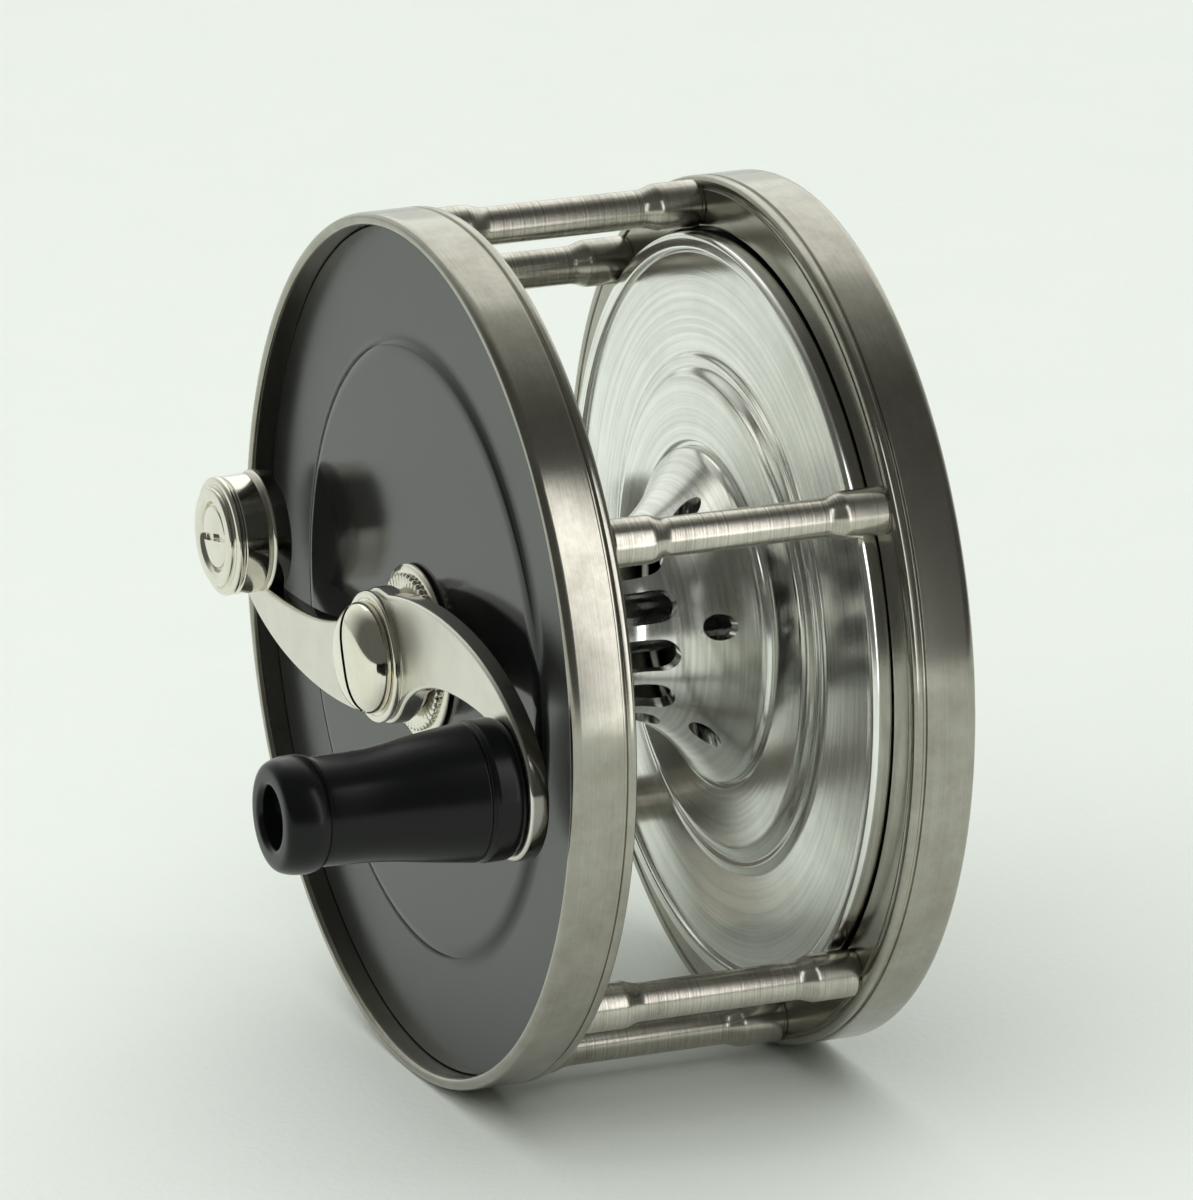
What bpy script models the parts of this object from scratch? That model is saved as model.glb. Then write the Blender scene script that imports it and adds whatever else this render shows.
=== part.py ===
"""A wide salmon fly reel with an S-shaped crank, modelled piece by piece.

Metres, +Z up.  The spool turns about the Y axis and the crank side faces -Y.
The reel stands on its two rims, and the tip of its foot keeps it from rolling.
"""
import math

import bmesh
import bpy
from mathutils import Matrix, Vector

# ---- driving dimensions ------------------------------------------------------
GAP = 0.0003                    # between two pieces that touch, and around a shank in its hole
EDGE = 0.0003                   # small bevels
SEGMENTS = 40                   # facets of the large turned pieces
SMALL_SEGMENTS = 24
SCREW_SEGMENTS = 10
HOLE_SEGMENTS = 8               # facets of a small screw's hole

RIM_RADIUS = 0.0475             # outside of both rims, so half the plate diameter
REEL_WIDTH = 0.0460             # from the front of one rim to the back of the other
RIM_WIDTH = 0.00725
RIM_WALL = 0.0014               # rim band outside the plates
RIM_LIP = 0.0010                # rounding of the rim's outer edge
SEAT_WIDTH = 0.0041             # inner flange of a rim, which takes the pillars and a plate
SEAT_THICKNESS = 0.0021

FRONT_PLATE_RECESS = 0.0026     # plate face behind the rim's lip
REAR_PLATE_RECESS = 0.0020
PLATEAU_RADIUS = 0.0333         # raised middle of the front plate
PLATEAU_HEIGHT = 0.0007
PLATEAU_FILLET = 0.0012

PILLAR_INSET = 0.0030           # from the rim's outside to the pillars' centres
PILLAR_RADIUS = 0.0025          # thick ends
PILLAR_WAIST = 0.0022
PILLAR_END = 0.0068             # length of a thick end with its shoulder
PILLAR_SHOULDER = 0.0018
PILLAR_SPIGOT = 0.0013          # radius of the pin at each end
LINE_PILLARS = (30, 105, 135, -45, -75)     # degrees from +X towards +Z
FOOT_ANGLE = 210
FOOT_SPREAD = 15                # each foot pillar stands this far from the foot's angle

FOOT_LENGTH = 0.0540
FOOT_WIDTH = 0.0150
FOOT_TIP_WIDTH = 0.0085
FOOT_THICKNESS = 0.0024
FOOT_TIP_THICKNESS = 0.0009
FOOT_SCREW_SPACING = 0.0090     # between the two screws in one pillar
SCREW_SHANK = 0.00075           # radius of the small screws
SCREW_HEAD = 0.0016
SCREW_HEAD_HEIGHT = 0.0007
SLOT_WIDTH = 0.0004
SLOT_DEPTH = 0.0003
PLATE_SCREW_ANGLES = (67.5, 165, 255, 352.5)

SPOOL_CLEARANCE = 0.0010        # round a spool flange, inside the rim's seat
EDGE_IN_RIM = 0.00065           # how far a flange's rolled edge reaches into the rim
FLANGE_DISH = 0.0041            # depth of a flange from its rolled edge to the arbor's seat
FLANGE_THICKNESS = 0.0013
EDGE_BEAD = 0.0012              # width of a flange's rolled edge
RIDGE_RADIUS = 0.0270
RIDGE_STEP = 0.0009
ARBOR_WAIST = 0.0100
ARBOR_FLARE = 0.0183
ARBOR_WALL = 0.0012
FLARE_POWER = 2.1               # how late the trumpet opens
ARBOR_SLOTS = 12
ARBOR_TURN = -4                 # of the first slot from +X, in degrees
SLOT_LENGTH = 0.0092            # arbor slots
ARBOR_SLOT_WIDTH = 0.0036
ARBOR_HOLE_RADIUS = 0.00145
ARBOR_HOLE_PLACE = 0.0081       # from the middle of the arbor
HUB_WALL = 0.0020
HUB_LENGTH = 0.0008             # hub outside the flange's web

SPINDLE_RADIUS = 0.0032
TENON_SHARE = 1.43              # square end across its flats, in spindle radii
BEARING_WALL = 0.0025           # of both bearings, where they pass through a plate
NOSE_WALL = 0.0011              # of the bushing's nose, which the drag wheel turns on
CAP_SCREW_INSET = 0.0020        # from the bearing's wall to the rear cap's screws
CAP_EDGE = 0.0016               # from those screws to the cap's edge
CAP_FLANGE = 0.0005             # thickness of the rear cap's flange
CAP_SHANK = 0.0011              # radius of the crank's and the counterweight's screws
CAP_SHANK_END = 0.0040          # depth that the crank's screw reaches into the spindle

DRAG_WHEEL_RADIUS = 0.0095
WHEEL_FLANGE = 0.00095          # smooth flange behind the knurling, how far it stands out
KNURL_TEETH = 24
KNURL_DEPTH = 0.0003
COLLAR_WALL = 0.0015            # plain collar in front of the knurling
DRAG_WASHER_RADIUS = 0.0090

RATCHET_RADIUS = 0.0090
RATCHET_TEETH = 24
TOOTH_HEIGHT = 0.0014
RATCHET_THICKNESS = 0.0015
PAWL_BITE = 0.0008              # how far the pawl's tip reaches between two teeth
PAWL_REACH = 0.0080             # from the ratchet's teeth to the pawl's pivot
CLICK_TRAVEL = 0.0025
BUTTON_RADIUS = 0.0022
BUTTON_HEIGHT = 0.0015
BUTTON_STEM = 0.0010
SLIDE_THICKNESS = 0.00065
SLIDE_HALF = 0.0050
SLIDE_TOP = 0.0015              # centre of the slide's round end above the pin
SLIDE_FOOT = 0.0030
PIN_RADIUS = 0.0009
PIN_HEAD = 0.0015
PIN_HEAD_HEIGHT = 0.0004
PAWL_EYE = 0.0020
PAWL_SPRING_RADIUS = 0.0033
PAWL_SPRING_LEAF = 0.0005

ARM_THICKNESS = 0.0021
ARM_BEVEL = 0.0003
ARM_HUB = 0.0074
ARM_BOSS = 0.00045              # boss behind the hub
KNOB_THROW = 0.0350             # knob's axis from the spool's axis
KNOB_ANGLE = -7.1
KNOB_LOBE = 0.0079
WEIGHT_THROW = 0.0380
WEIGHT_ANGLE = 175.3
WEIGHT_LOBE = 0.0069

KNOB_LENGTH = 0.0262
KNOB_BASE = 0.0076
KNOB_NECK = 0.0056
KNOB_BULB = 0.0062
KNOB_HOLE = 0.0033
KNOB_HOLE_DEPTH = 0.0040
KNOB_SCREW_HEIGHT = 0.0008
POST_RADIUS = 0.0017
WEIGHT_RADIUS = 0.0066
WEIGHT_HEIGHT = 0.0044
WEIGHT_SCREW = 0.0035
WEIGHT_SINK = 0.0014            # depth of the counterweight's counterbore
DOME_RADIUS = 0.0061
DOME_HEIGHT = 0.0028
DOME_SLOT_ANGLE = -65
DOME_SLOT_DEPTH = 0.0012
WASHER_RADIUS = 0.0072
WASHER_THICKNESS = 0.0008

# ---- places that follow from them --------------------------------------------
MIDDLE = REEL_WIDTH / 2
PILLAR_CIRCLE = RIM_RADIUS - PILLAR_INSET
SEAT_DEPTH = RIM_WIDTH - SEAT_THICKNESS         # from a rim's lip to its seat
SEAT_INNER = RIM_RADIUS - RIM_WALL - SEAT_WIDTH
PLATE_RADIUS = RIM_RADIUS - RIM_WALL - GAP
PLATE_BACK = SEAT_DEPTH - GAP
FRONT_FACE = FRONT_PLATE_RECESS - PLATEAU_HEIGHT
REAR_FACE = REEL_WIDTH - REAR_PLATE_RECESS
REAR_INSIDE = REEL_WIDTH - PLATE_BACK
BORE = SPINDLE_RADIUS + GAP
TENON = TENON_SHARE * SPINDLE_RADIUS
BEARING_RADIUS = BORE + BEARING_WALL
BUSH_NOSE = BORE + NOSE_WALL
HUB_RADIUS = BORE + HUB_WALL
CAP_SCREW_CIRCLE = BEARING_RADIUS + CAP_SCREW_INSET
CAP_RADIUS = CAP_SCREW_CIRCLE + CAP_EDGE
DRAG_COLLAR = BUSH_NOSE + GAP + COLLAR_WALL
KNURL_RADIUS = DRAG_WHEEL_RADIUS - WHEEL_FLANGE
PAWL_PIVOT = RATCHET_RADIUS + PAWL_REACH
PAWL_ENGAGED = RATCHET_RADIUS - PAWL_BITE
SPOOL_RADIUS = SEAT_INNER - SPOOL_CLEARANCE
SPOOL_EDGE = MIDDLE - RIM_WIDTH + EDGE_IN_RIM
FLANGE_SEAT = SPOOL_EDGE - FLANGE_DISH
ARBOR_END = FLANGE_SEAT - GAP
HUB_END = FLANGE_SEAT + FLANGE_THICKNESS + HUB_LENGTH
BOSS_BACK = -GAP                # the crank clears the lip's plane
ARM_BACK = BOSS_BACK - ARM_BOSS
ARM_FACE = ARM_BACK - ARM_THICKNESS
FOOT_FACE = PILLAR_CIRCLE * math.cos(math.radians(FOOT_SPREAD)) + PILLAR_RADIUS + GAP + FOOT_THICKNESS


def on_circle(radius, degrees, y=0.0):
    """A point at this angle around the spool's axis, from +X towards +Z."""
    angle = math.radians(degrees)
    return Vector((radius * math.cos(angle), y, radius * math.sin(angle)))


KNOB_CENTRE = on_circle(KNOB_THROW, KNOB_ANGLE)
WEIGHT_CENTRE = on_circle(WEIGHT_THROW, WEIGHT_ANGLE)


# ---- materials ---------------------------------------------------------------
def finish(name, colour, metallic, roughness):
    """A Principled material with one colour."""
    material = bpy.data.materials.new(name)
    material.use_nodes = True
    shader = material.node_tree.nodes["Principled BSDF"]
    shader.inputs["Base Color"].default_value = (*colour, 1.0)
    shader.inputs["Metallic"].default_value = metallic
    shader.inputs["Roughness"].default_value = roughness
    return material


for old in list(bpy.data.objects):
    bpy.data.objects.remove(old)

SATIN_NICKEL = finish("satin_nickel", (0.42, 0.40, 0.37), 1.0, 0.32)
BRIGHT_NICKEL = finish("bright_nickel", (0.72, 0.69, 0.63), 1.0, 0.15)
ALUMINIUM = finish("aluminium", (0.78, 0.79, 0.79), 1.0, 0.20)
BLACK_PLATE = finish("black_plate", (0.028, 0.030, 0.030), 0.0, 0.30)
BLACK_RUBBER = finish("black_rubber", (0.012, 0.012, 0.013), 0.0, 0.38)
STEEL = finish("steel", (0.45, 0.46, 0.47), 1.0, 0.28)
BRASS = finish("brass", (0.62, 0.48, 0.24), 1.0, 0.30)
LEATHER = finish("leather", (0.20, 0.12, 0.07), 0.0, 0.80)

REEL = bpy.data.objects.new("reel_axis", None)
bpy.context.collection.objects.link(REEL)


# ---- modelling helpers -------------------------------------------------------
def add_object(name, bm, material, place=(0, 0, 0), parent=REEL):
    """Close the mesh off, shade it and hang it on its parent."""
    bmesh.ops.remove_doubles(bm, verts=bm.verts, dist=1e-7)
    bmesh.ops.recalc_face_normals(bm, faces=bm.faces)
    mesh = bpy.data.meshes.new(name)
    bm.to_mesh(mesh)
    bm.free()
    mesh.shade_smooth()
    mesh.set_sharp_from_angle(angle=math.radians(35))
    piece = bpy.data.objects.new(name, mesh)
    piece.location = place
    piece.parent = parent
    if material is not None:
        mesh.materials.append(material)
    bpy.context.collection.objects.link(piece)
    return piece


def add_turned(bm, profile, segments):
    """Turn a (radius, y) outline about Y: a solid if its ends lie on the axis, or else a ring."""
    rings = []
    for radius, y in profile:
        count = segments if radius else 1
        rings.append([bm.verts.new(on_circle(radius, 360 * i / count, y)) for i in range(count)])
    if profile[0][0]:
        rings.append(rings[0])
    for first, second in zip(rings, rings[1:]):
        for i in range(segments):
            j = (i + 1) % segments
            corners = [first[i % len(first)], first[j % len(first)],
                       second[j % len(second)], second[i % len(second)]]
            bm.faces.new(list(dict.fromkeys(corners)))


def add_prism(bm, outline, low, high):
    """Extrude an (x, z) outline from y = low to y = high."""
    bottom = bm.faces.new([bm.verts.new((x, low, z)) for x, z in outline])
    side = bmesh.ops.extrude_face_region(bm, geom=[bottom])
    top = [item for item in side["geom"] if isinstance(item, bmesh.types.BMVert)]
    bmesh.ops.translate(bm, verts=top, vec=(0, high - low, 0))


def circle_points(radius, count, centre=(0, 0), start=0.0, sweep=360.0):
    """Points along an arc; a full circle leaves out the repeated last point."""
    steps = count if sweep == 360.0 else count - 1
    return [(centre[0] + radius * math.cos(math.radians(start + sweep * i / steps)),
             centre[1] + radius * math.sin(math.radians(start + sweep * i / steps)))
            for i in range(count)]


def turned(name, profile, material, segments=SMALL_SEGMENTS, place=(0, 0, 0), parent=REEL):
    """A turned piece whose own axis is at place."""
    bm = bmesh.new()
    add_turned(bm, profile, segments)
    return add_object(name, bm, material, place, parent)


def cut(piece, name, bm):
    """Subtract a hidden cutter from a piece."""
    cutter = add_object(name, bm, None, piece.location, piece.parent)
    cutter.rotation_euler = piece.rotation_euler
    cutter.hide_render = True
    cutter.display_type = "WIRE"
    boolean = piece.modifiers.new(name, "BOOLEAN")
    boolean.operation = "DIFFERENCE"
    boolean.solver = "EXACT"
    boolean.object = cutter


def drill(piece, name, centres, radius, low, high, segments=12):
    """Bore holes along Y at these (x, z) places."""
    bm = bmesh.new()
    for centre in centres:
        add_prism(bm, circle_points(radius, segments, centre, 180 / segments), low, high)
    cut(piece, name, bm)


def slot_cutter(piece, radius, y, depth, degrees, width=SLOT_WIDTH):
    """Saw a screwdriver slot across a head whose face is at y, from the -Y side."""
    bm = bmesh.new()
    bmesh.ops.create_cube(bm, size=1.0)
    bmesh.ops.scale(bm, verts=bm.verts, vec=(2.4 * radius, 2 * depth, width))
    bmesh.ops.rotate(bm, verts=bm.verts, cent=(0, 0, 0), matrix=Matrix.Rotation(-math.radians(degrees), 3, "Y"))
    bmesh.ops.translate(bm, verts=bm.verts, vec=(0, y, 0))
    cut(piece, piece.name + "_slot", bm)


# ---- rims --------------------------------------------------------------------
def side(depth, rear):
    """The y of a depth below the lip of the front or the rear rim."""
    return REEL_WIDTH - depth if rear else depth


PILLAR_ANGLES = LINE_PILLARS + (FOOT_ANGLE - FOOT_SPREAD, FOOT_ANGLE + FOOT_SPREAD)
PLATE_SCREW_CIRCLE = SEAT_INNER + 0.4 * SEAT_WIDTH

for rear, name in ((False, "front_ring"), (True, "rear_ring")):
    inner = RIM_RADIUS - RIM_WALL
    crest = RIM_RADIUS - 0.5 * RIM_WALL
    section = [(RIM_RADIUS, RIM_LIP), (RIM_RADIUS - 0.25 * RIM_WALL, 0.25 * RIM_LIP), (crest, 0),
               (inner + 0.15 * RIM_WALL, 0.15 * RIM_LIP), (inner, 0.5 * RIM_LIP), (inner, SEAT_DEPTH),
               (SEAT_INNER, SEAT_DEPTH), (SEAT_INNER, RIM_WIDTH), (RIM_RADIUS - EDGE, RIM_WIDTH),
               (RIM_RADIUS, RIM_WIDTH - EDGE)]
    ring = turned(name, [(radius, side(depth, rear)) for radius, depth in section], SATIN_NICKEL, SEGMENTS)
    seats = [on_circle(PILLAR_CIRCLE, angle).xz for angle in PILLAR_ANGLES]
    ends = sorted((side(SEAT_DEPTH - GAP, rear), side(RIM_WIDTH + GAP, rear)))
    drill(ring, name + "_spigot_holes", seats, PILLAR_SPIGOT + GAP, *ends)
    if rear:
        holes = [on_circle(PLATE_SCREW_CIRCLE, angle).xz for angle in PLATE_SCREW_ANGLES]
        drill(ring, name + "_screw_holes", holes, SCREW_SHANK + GAP, *ends, segments=HOLE_SEGMENTS)

# ---- plates ------------------------------------------------------------------
turned("front_plate", [
    (PLATE_RADIUS, FRONT_PLATE_RECESS), (PLATE_RADIUS, PLATE_BACK), (BEARING_RADIUS + GAP, PLATE_BACK),
    (BEARING_RADIUS + GAP, FRONT_FACE), (PLATEAU_RADIUS - PLATEAU_FILLET, FRONT_FACE),
    (PLATEAU_RADIUS - 0.4 * PLATEAU_FILLET, FRONT_FACE + 0.2 * PLATEAU_HEIGHT),
    (PLATEAU_RADIUS + 0.3 * PLATEAU_FILLET, FRONT_PLATE_RECESS)], BLACK_PLATE, SEGMENTS)

rear_plate = turned("rear_plate", [
    (PLATE_RADIUS, REAR_INSIDE), (PLATE_RADIUS, REAR_FACE), (BEARING_RADIUS + GAP, REAR_FACE),
    (BEARING_RADIUS + GAP, REAR_INSIDE)], BLACK_PLATE, SEGMENTS)
drill(rear_plate, "rear_plate_screw_holes",
      [on_circle(PLATE_SCREW_CIRCLE, angle).xz for angle in PLATE_SCREW_ANGLES],
      SCREW_SHANK + GAP, REAR_INSIDE - GAP, REAR_FACE + GAP, segments=HOLE_SEGMENTS)
drill(rear_plate, "bearing_screw_holes", [on_circle(CAP_SCREW_CIRCLE, 90 + 120 * i).xz for i in range(3)],
      SCREW_SHANK + GAP, REAR_INSIDE - GAP, REAR_FACE + GAP, segments=HOLE_SEGMENTS)

button_slot = bmesh.new()
slot_half = BUTTON_STEM + GAP
button_top = PAWL_PIVOT + CLICK_TRAVEL
add_prism(button_slot,
          circle_points(slot_half, 8, (0, button_top), 0, 180)
          + circle_points(slot_half, 8, (0, PAWL_PIVOT), 180, 180), REAR_INSIDE - GAP, REAR_FACE + GAP)
cut(rear_plate, "button_slot", button_slot)


def plate_screw(name, centre, face, length):
    """A slotted screw put in from the rear, with its head standing on y = face."""
    top = face + GAP + SCREW_HEAD_HEIGHT
    screw = turned(name, [
        (0, face - length), (SCREW_SHANK, face - length), (SCREW_SHANK, face + GAP), (SCREW_HEAD, face + GAP),
        (SCREW_HEAD, top), (0, top)], BRIGHT_NICKEL, SCREW_SEGMENTS, centre)
    slot_cutter(screw, SCREW_HEAD, top, SLOT_DEPTH, 20)


for number, angle in enumerate(PLATE_SCREW_ANGLES, 1):
    plate_screw(f"plate_screw_{number}", on_circle(PLATE_SCREW_CIRCLE, angle), REAR_FACE,
                REAR_FACE - REEL_WIDTH + RIM_WIDTH - GAP)

# ---- pillars -----------------------------------------------------------------
PILLAR_LOW = RIM_WIDTH + GAP
PILLAR_HIGH = REEL_WIDTH - RIM_WIDTH - GAP
SPIGOT_LOW = SEAT_DEPTH + GAP
SPIGOT_HIGH = REEL_WIDTH - SEAT_DEPTH - GAP

for number, angle in enumerate(PILLAR_ANGLES, 1):
    waisted = angle in LINE_PILLARS
    waist = PILLAR_WAIST if waisted else PILLAR_RADIUS
    thick = PILLAR_END - PILLAR_SHOULDER
    middle = [(PILLAR_RADIUS, PILLAR_LOW + thick), (waist, PILLAR_LOW + PILLAR_END),
              (waist, PILLAR_HIGH - PILLAR_END), (PILLAR_RADIUS, PILLAR_HIGH - thick)]
    profile = ([(0, SPIGOT_LOW), (PILLAR_SPIGOT, SPIGOT_LOW), (PILLAR_SPIGOT, PILLAR_LOW),
                (PILLAR_RADIUS, PILLAR_LOW)]
               + (middle if waisted else [])
               + [(PILLAR_RADIUS, PILLAR_HIGH), (PILLAR_SPIGOT, PILLAR_HIGH),
                  (PILLAR_SPIGOT, SPIGOT_HIGH), (0, SPIGOT_HIGH)])
    pillar = turned(f"pillar_{number}", profile, SATIN_NICKEL, SCREW_SEGMENTS,
                    on_circle(PILLAR_CIRCLE, angle))
    if not waisted:
        bm = bmesh.new()
        for offset in (-0.5, 0.5):
            made = bmesh.ops.create_cone(
                bm, cap_ends=True, segments=HOLE_SEGMENTS, radius1=SCREW_SHANK + GAP, radius2=SCREW_SHANK + GAP,
                depth=2 * PILLAR_RADIUS,
                matrix=Matrix.Translation((0, MIDDLE + offset * FOOT_SCREW_SPACING, 0)))
            bmesh.ops.translate(bm, verts=made["verts"], vec=(0, 0, 1.3 * PILLAR_RADIUS))
        bmesh.ops.rotate(bm, verts=bm.verts, cent=(0, 0, 0),
                         matrix=Matrix.Rotation(math.radians(90 - FOOT_ANGLE), 3, "Y"))
        cut(pillar, f"pillar_{number}_holes", bm)

# ---- foot: its own frame has x along the rod and z away from the reel ----------
FOOT_TURN = (0, math.radians(90 - FOOT_ANGLE), 0)
FOOT_INNER = FOOT_FACE - FOOT_THICKNESS
SCREW_REACH = PILLAR_CIRCLE * math.sin(math.radians(FOOT_SPREAD))

bm = bmesh.new()
half = FOOT_LENGTH / 2
shoulder = 0.45 * half
flat = 0.62 * half


def foot_half_width(x):
    """Half the foot's width, from the parallel middle to the narrow tips."""
    share = max(0.0, (abs(x) - shoulder) / (half - shoulder))
    share = share * share * (3 - 2 * share)
    return (FOOT_WIDTH + (FOOT_TIP_WIDTH - FOOT_WIDTH) * share) / 2


def foot_inner(x):
    """The reel side of the foot, which thins out towards the tips."""
    share = max(0.0, (abs(x) - flat) / (half - flat))
    return FOOT_INNER + (FOOT_THICKNESS - FOOT_TIP_THICKNESS) * share


stations = [-half, -half + 3 * EDGE, -0.81 * half, -flat, -shoulder]
stations = stations + [-x for x in reversed(stations)]
rows = []
for x in stations:
    width = foot_half_width(x) * (0.72 if abs(x) == half else 1.0)
    rows.append([bm.verts.new((x, MIDDLE - width, foot_inner(x))),
                 bm.verts.new((x, MIDDLE + width, foot_inner(x))),
                 bm.verts.new((x, MIDDLE + width, FOOT_FACE)),
                 bm.verts.new((x, MIDDLE - width, FOOT_FACE))])
for first, second in zip(rows, rows[1:]):
    for i in range(4):
        j = (i + 1) % 4
        bm.faces.new((first[i], first[j], second[j], second[i]))
bm.faces.new(rows[0])
bm.faces.new(rows[-1])
foot = add_object("reel_foot", bm, SATIN_NICKEL)
foot.rotation_euler = FOOT_TURN
for suffix, radius, low in (("bores", SCREW_SHANK + GAP, FOOT_INNER - GAP),
                            ("sinks", SCREW_HEAD + GAP, FOOT_FACE - SCREW_HEAD_HEIGHT - 2 * GAP)):
    bm = bmesh.new()
    for x in (-SCREW_REACH, SCREW_REACH):
        for offset in (-0.5, 0.5):
            bmesh.ops.create_cone(
                bm, cap_ends=True, segments=HOLE_SEGMENTS, radius1=radius, radius2=radius,
                depth=FOOT_FACE + GAP - low, matrix=Matrix.Translation(
                    (x, MIDDLE + offset * FOOT_SCREW_SPACING, (FOOT_FACE + GAP + low) / 2)))
    cut(foot, f"reel_foot_{suffix}", bm)

number = 0
for x in (-SCREW_REACH, SCREW_REACH):
    for offset in (-0.5, 0.5):
        number += 1
        head_top = FOOT_FACE - GAP
        head_base = head_top - SCREW_HEAD_HEIGHT
        reach = PILLAR_CIRCLE * math.cos(math.radians(FOOT_SPREAD)) + 0.35 * PILLAR_RADIUS
        bm = bmesh.new()
        add_turned(bm, [(0, reach), (SCREW_SHANK, reach), (SCREW_SHANK, head_base), (SCREW_HEAD, head_base),
                        (SCREW_HEAD, head_top), (0, head_top)], SCREW_SEGMENTS)
        bmesh.ops.rotate(bm, verts=bm.verts, cent=(0, 0, 0), matrix=Matrix.Rotation(math.radians(90), 3, "X"))
        bmesh.ops.translate(bm, verts=bm.verts, vec=(x, MIDDLE + offset * FOOT_SCREW_SPACING, 0))
        screw = add_object(f"foot_screw_{number}", bm, BRIGHT_NICKEL)
        screw.rotation_euler = FOOT_TURN
        bm = bmesh.new()
        bmesh.ops.create_cube(bm, size=1.0)
        bmesh.ops.scale(bm, verts=bm.verts, vec=(2.4 * SCREW_HEAD, SLOT_WIDTH, 2 * SLOT_DEPTH))
        bmesh.ops.translate(bm, verts=bm.verts, vec=(x, MIDDLE + offset * FOOT_SCREW_SPACING, head_top))
        cut(screw, f"foot_screw_{number}_slot", bm)

# ---- spool: two turned flanges on a pierced trumpet arbor ------------------------
def flange_section(rear):
    """Closed (radius, y) outline of a flange; distances run outwards from the reel's middle."""
    out = FLANGE_SEAT + FLANGE_THICKNESS
    face = FLANGE_SEAT + 0.4 * FLANGE_DISH
    bead = SPOOL_RADIUS - EDGE_BEAD
    section = [
        (BORE, FLANGE_SEAT), (ARBOR_FLARE + GAP, FLANGE_SEAT), (RIDGE_RADIUS, FLANGE_SEAT + 2 * EDGE),
        (RIDGE_RADIUS + RIDGE_STEP, FLANGE_SEAT + 4 * EDGE), (bead - 2 * EDGE, face + EDGE),
        (bead, face - EDGE), (SPOOL_RADIUS, face - EDGE), (SPOOL_RADIUS, SPOOL_EDGE), (bead, SPOOL_EDGE),
        (bead - 3 * EDGE, face + FLANGE_THICKNESS), (RIDGE_RADIUS - 2 * RIDGE_STEP, out + EDGE),
        (HUB_RADIUS, out), (HUB_RADIUS, HUB_END), (BORE, HUB_END)]
    sign = 1 if rear else -1
    return [(radius, MIDDLE + sign * distance) for radius, distance in section]


turned("spool_front_flange", flange_section(False), ALUMINIUM, SEGMENTS)
turned("spool_rear_flange", flange_section(True), ALUMINIUM, SEGMENTS)


def arbor_radius(distance):
    """Outer radius of the arbor at this distance from its middle."""
    share = (abs(distance) / ARBOR_END) ** FLARE_POWER
    return ARBOR_WAIST + (ARBOR_FLARE - ARBOR_WAIST) * share


steps = [-1.0, -0.85, -0.65, -0.4, 0.0, 0.4, 0.65, 0.85, 1.0]
outer = [(arbor_radius(share * ARBOR_END), MIDDLE + share * ARBOR_END) for share in steps]
inner = []
for share in reversed(steps):
    slope = ((ARBOR_FLARE - ARBOR_WAIST) * FLARE_POWER * abs(share) ** (FLARE_POWER - 1)) / ARBOR_END
    inner.append((arbor_radius(share * ARBOR_END) - ARBOR_WALL * math.sqrt(1 + slope * slope),
                  MIDDLE + share * ARBOR_END))
spool_arbor = turned("spool_arbor", outer + inner, ALUMINIUM, 28)

bm = bmesh.new()
for i in range(ARBOR_SLOTS):
    angle = math.radians(ARBOR_TURN + 360 * i / ARBOR_SLOTS)
    straight = (SLOT_LENGTH - ARBOR_SLOT_WIDTH) / 2
    outline = (circle_points(ARBOR_SLOT_WIDTH / 2, 4, (straight, 0), -90, 180)
               + circle_points(ARBOR_SLOT_WIDTH / 2, 4, (-straight, 0), 90, 180))
    low, high = ARBOR_WAIST - 3 * ARBOR_WALL, ARBOR_FLARE
    face = bm.faces.new([bm.verts.new((low, MIDDLE + y, z)) for y, z in outline])
    extruded = bmesh.ops.extrude_face_region(bm, geom=[face])["geom"]
    top = [item for item in extruded if isinstance(item, bmesh.types.BMVert)]
    bmesh.ops.translate(bm, verts=top, vec=(high - low, 0, 0))
    bmesh.ops.rotate(bm, verts=list(face.verts) + top, cent=(0, 0, 0),
                     matrix=Matrix.Rotation(-angle, 3, "Y"))
cut(spool_arbor, "arbor_slots", bm)

bm = bmesh.new()
for i in range(ARBOR_SLOTS // 2):
    for sign in (-1, 1):
        angle = math.radians(ARBOR_TURN + 360 * (2 * i + 0.5) / ARBOR_SLOTS)
        made = bmesh.ops.create_cone(bm, cap_ends=True, segments=HOLE_SEGMENTS, radius1=ARBOR_HOLE_RADIUS,
                                     radius2=ARBOR_HOLE_RADIUS, depth=ARBOR_FLARE - 0.5 * ARBOR_WAIST)
        verts = made["verts"]
        bmesh.ops.rotate(bm, verts=verts, cent=(0, 0, 0), matrix=Matrix.Rotation(math.radians(90), 3, "Y"))
        bmesh.ops.translate(bm, verts=verts, vec=((ARBOR_FLARE + 0.5 * ARBOR_WAIST) / 2,
                                                  MIDDLE + sign * ARBOR_HOLE_PLACE, 0))
        bmesh.ops.rotate(bm, verts=verts, cent=(0, 0, 0), matrix=Matrix.Rotation(-angle, 3, "Y"))
cut(spool_arbor, "arbor_holes", bm)

# ---- spindle and bearings ------------------------------------------------------
SPINDLE_FRONT = BOSS_BACK + GAP
SPINDLE_BACK = REAR_FACE - 0.0010
SPINDLE_BEVEL = 0.0005
spindle = turned("spindle", [
    (0, SPINDLE_FRONT), (SPINDLE_RADIUS, SPINDLE_FRONT), (SPINDLE_RADIUS, SPINDLE_BACK - SPINDLE_BEVEL),
    (SPINDLE_RADIUS - SPINDLE_BEVEL, SPINDLE_BACK), (0, SPINDLE_BACK)], STEEL)
bm = bmesh.new()
bmesh.ops.create_cube(bm, size=1.0)
bmesh.ops.scale(bm, verts=bm.verts, vec=(TENON, SPINDLE_FRONT - ARM_FACE, TENON))
bmesh.ops.translate(bm, verts=bm.verts, vec=(0, (SPINDLE_FRONT + ARM_FACE) / 2 + SPINDLE_BEVEL, 0))
tenon = add_object("spindle_tenon", bm, None)
tenon.hide_render = True
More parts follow.
